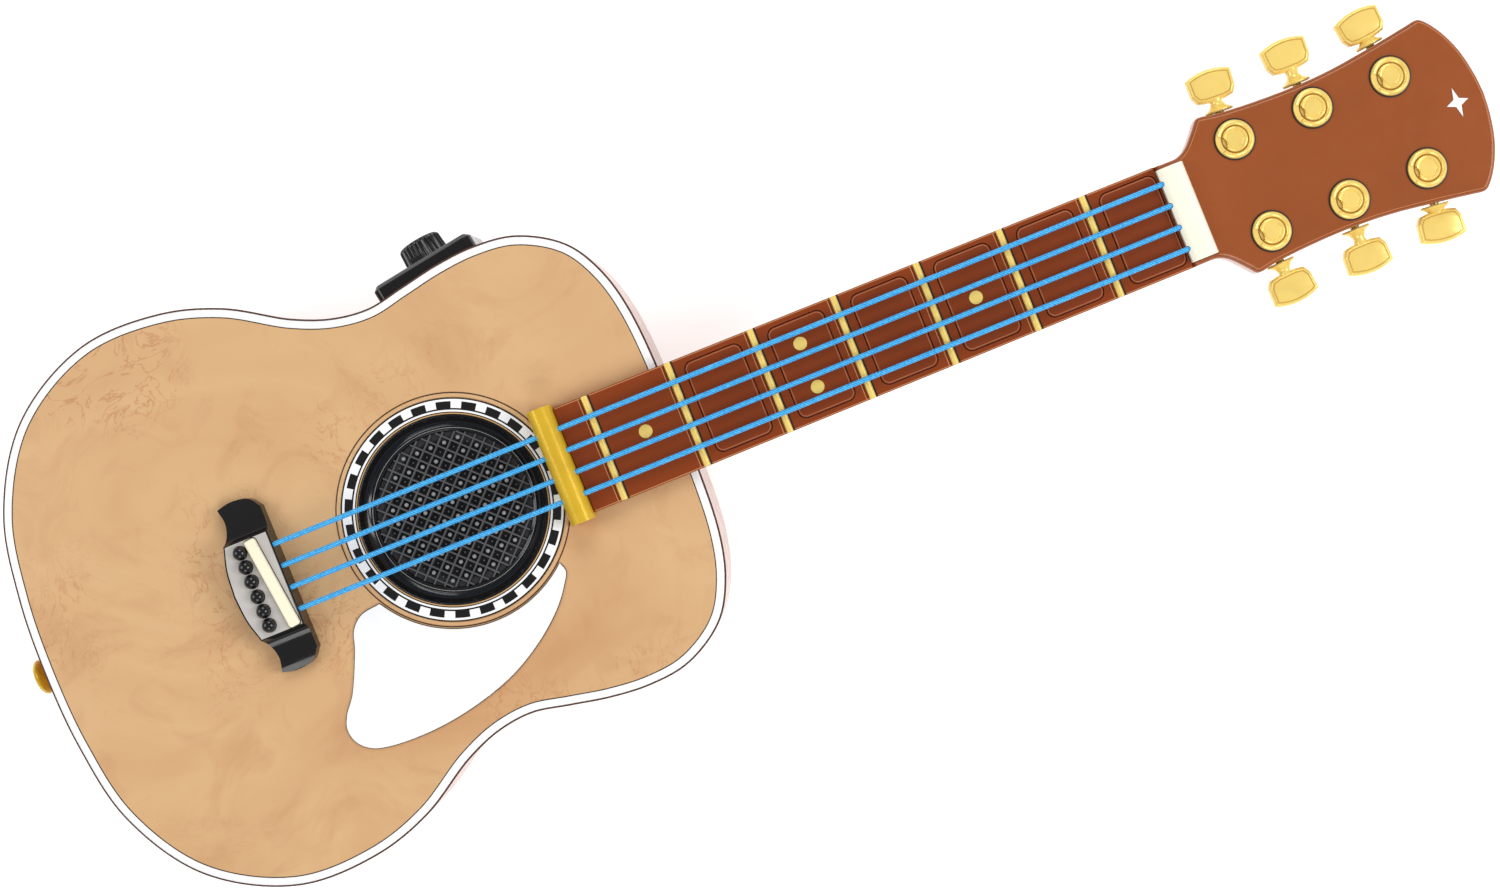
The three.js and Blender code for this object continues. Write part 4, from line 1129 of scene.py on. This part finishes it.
def controls():
    dial_place = control_matrix(1, 27)
    outline = rounded_rectangle(0, 0, CONTROL["length"], CONTROL["height"], 4.0, 8)
    rings = [(-8.0, outline), (1.3, outline)]
    rings += [(z, offset(outline, -inset)) for z, inset in ((1.7, 0.15), (3.3, 2.0), (3.5, 2.5))]
    plate = build("control_panel", moved(loft(rings), control_matrix(0, CONTROL["z"])), black_gloss)
    carve(plate, moved(rod(0, 0, 3.4, -20, 20, 32), dial_place))
    opening = prism(rounded_rectangle(0, 0, 13.2, 3.8, 0.8), -20, 20)
    carve(plate, moved(opening, control_matrix(1.5, 44)))
    dish = loft([(z, circle(0, 0, radius, 64)) for z, radius in ((3.2, 12.0), (3.3, 12.1), (6, 12.1))])
    carve(plate, moved(dish, dial_place))
    soften(plate, 0.18, 2, 40)
    settle(plate, ["control_plate"])

    ribs, around = 30, 240
    def ribbed(radius, depth):
        points = []
        for i in range(around):
            a = 2 * math.pi * i / around
            r = radius - depth * (0.5 - 0.5 * math.cos(ribs * a)) ** 0.6
            points.append((r * math.cos(a), r * math.sin(a)))
        return points
    knob_rings = [
        (-8.9, 2.9, 0), (3.9, 2.9, 0), (3.9, 10.3, 0), (4.2, 10.7, 0.1), (4.8, 10.7, 0.65),
        (12.6, 10.2, 0.65), (13.5, 9.9, 0.3), (14.2, 9.2, 0), (14.55, 8.0, 0), (14.7, 6.0, 0),
        (14.85, 3.0, 0), (14.9, 0.01, 0),
    ]
    dial = loft([(z, ribbed(radius, depth)) for z, radius, depth in knob_rings])
    knob = moved(dial, dial_place)
    piece("volume_dial", knob, black_gloss, ["volume_knob"], body="volume_knob", even=False)
    pointer = moved(block(-0.35, 0.35, 3.8, 7.6, 14.2, 15.0), dial_place)
    mark = build("volume_mark", pointer, white_gloss)
    soften(mark, 0.1, 2)
    settle(mark, body="volume_knob")

    here = control_matrix(-1.5, 44)
    nub = build("slider_nub", moved(block(-3.1, 3.1, -1.5, 1.5, -6.0, 6.7), here), black_satin)
    for x in (-1.5, 0.0, 1.5):
        carve(nub, moved(block(x - 0.3, x + 0.3, -3, 3, 6.2, 8), here))
    soften(nub, 0.2, 2)
    settle(nub, ["mode_slider"], body="mode_slider")


def strap_buttons():
    profile = [
        (0, 0), (6.2, 0), (6.0, 0.8), (5.0, 2.2), (4.2, 3.6), (4.0, 5.0), (4.0, 7.2), (4.4, 8.1),
        (6.6, 8.8), (7.8, 9.5), (8.3, 10.6), (8.0, 11.7), (7.0, 12.5), (4.6, 12.95), (0, 13.0),
    ]
    tail_high = box_mm("strap_button_tail")[1]
    tail = moved(lathe(profile, 64), at(tail_high.x - BRIDGE_X, 0, 30) @ turned(-90, "Y"))
    piece("tail_button", tail, gold_deep, ["strap_button_tail"])
    heel_x, heel_z = node_middle("strap_button_heel")[0], box_mm("strap_button_heel")[1].z
    heel = moved(lathe(profile, 64), at(heel_x, 0, heel_z) @ turned(180, "Y"))
    piece("heel_button", heel, gold_deep, ["strap_button_heel"])


def battery_cover():
    x0, x1, half = BAY["x0"] + 0.6, BAY["x1"] - 0.6, BAY["half"] - 0.6
    outline = rounded_rectangle((x0 + x1) / 2, 0, x1 - x0, 2 * half, 1.5)
    door = build("battery_cover", prism(outline, 0.6, 2.6), brown_shell)
    carve(door, rod(DOOR_SCREW_X, 0, 1.9, -1, 5, 24))
    carve(door, rod(DOOR_SCREW_X, 0, 3.5, -1, 1.8, 32))
    for k in range(5):
        x = -30 + 3.2 * k
        carve(door, block(x, x + 1.4, -14, 14, 0, 1.1))
    soften(door, 0.25, 3)
    settle(door, ["battery_door"], body="battery_door")
    head = moved(cross_screw(2.9, 1.0), at(DOOR_SCREW_X, 0, 0.8))
    shank = rod(DOOR_SCREW_X, 0, 1.45, 1.7, 8.6, 24)
    piece(
        "battery_screw", merged(head, shank), steel, ["battery_door_screw"],
        body="battery_door")


def inner_pieces():
    """CAD nodes that stay as they are and only get their finish."""
    finishes = {
        "speaker_driver": cone_paper, "circuit_board": board_green, "control_board": board_green,
        "key_circuit_strip": board_green, "key_pad_strip": pad_rubber,
        "battery_1": sleeve, "battery_2": sleeve, "battery_3": sleeve,
    }
    for node, material in finishes.items():
        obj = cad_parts[node]
        for material_slot in obj.material_slots:
            material_slot.material = material


# ---- stage

def floor_paper():
    """Back-lit white studio paper."""
    m = Nodes("floor_paper")
    white = (1.0, 1.0, 1.0, 1.0)
    m.use(
        Base_Color=m.ramp(m.noise(3, 2), (0.3, toned(white, 0.9)), (0.7, toned(white, 0.93))),
        Roughness=0.9, Emission_Color=white, Emission_Strength=0.52)
    return m.material


def camera_and_light():
    scene = bpy.context.scene
    turn = math.radians(22.05)
    frame_width = 675.0  # millimetres of the soundboard's plane across the picture
    height = 1100.0  # lens above the soundboard
    foot = (279.0, -22.5)
    data = bpy.data.cameras.new("camera")
    data.sensor_width = 36.0
    data.lens = 36.0 * height / frame_width
    data.shift_x = -0.07235
    data.shift_y = -0.03116
    data.clip_end = 20
    camera = bpy.data.objects.new("camera", data)
    scene.collection.objects.link(camera)
    camera.location = place((*foot, TOP + height))
    camera.rotation_euler = (0, 0, -turn)
    scene.camera = camera

    def softbox(name, location, power):
        light = bpy.data.lights.new(name, "AREA")
        light.shape = "SQUARE"
        light.size = 0.8
        light.energy = power
        lamp = bpy.data.objects.new(name, light)
        scene.collection.objects.link(lamp)
        lamp.location = location
        lamp.rotation_euler = (-Vector(location)).to_track_quat("-Z", "Y").to_euler()

    softbox("softbox_left", (-1.25, 0.5, 1.05), 7)
    softbox("softbox_right", (1.25, -0.5, 1.15), 14.5)
    softbox("softbox_back", (0.45, 1.25, 1.1), 8)
    softbox("softbox_front", (-0.45, -1.25, 1.1), 7)

    world = bpy.data.worlds.new("studio")
    world.use_nodes = True
    background = world.node_tree.nodes["Background"].inputs
    background["Color"].default_value = (1.0, 1.0, 1.0, 1.0)
    background["Strength"].default_value = 0.36
    scene.world = world
    scene.view_settings.view_transform = "Standard"

    floor_mesh = bpy.data.meshes.new("floor")
    size = 6.0
    corners = [(-size, -size, 0), (size, -size, 0), (size, size, 0), (-size, size, 0)]
    floor_mesh.from_pydata(corners, [], [(0, 1, 2, 3)])
    floor = bpy.data.objects.new("floor", floor_mesh)
    scene.collection.objects.link(floor)
    floor_mesh.materials.append(floor_paper())


makers = (
    back_shell, soundboard, binding, rosette, grille, pickguard, bridge, bridge_top, strings,
    string_bar, neck, fretboard, frets, fret_keys, nut, headstock, tuner_posts, tuner_keys,
    controls, strap_buttons, battery_cover, inner_pieces, camera_and_light,
)
for make in makers:
    make()
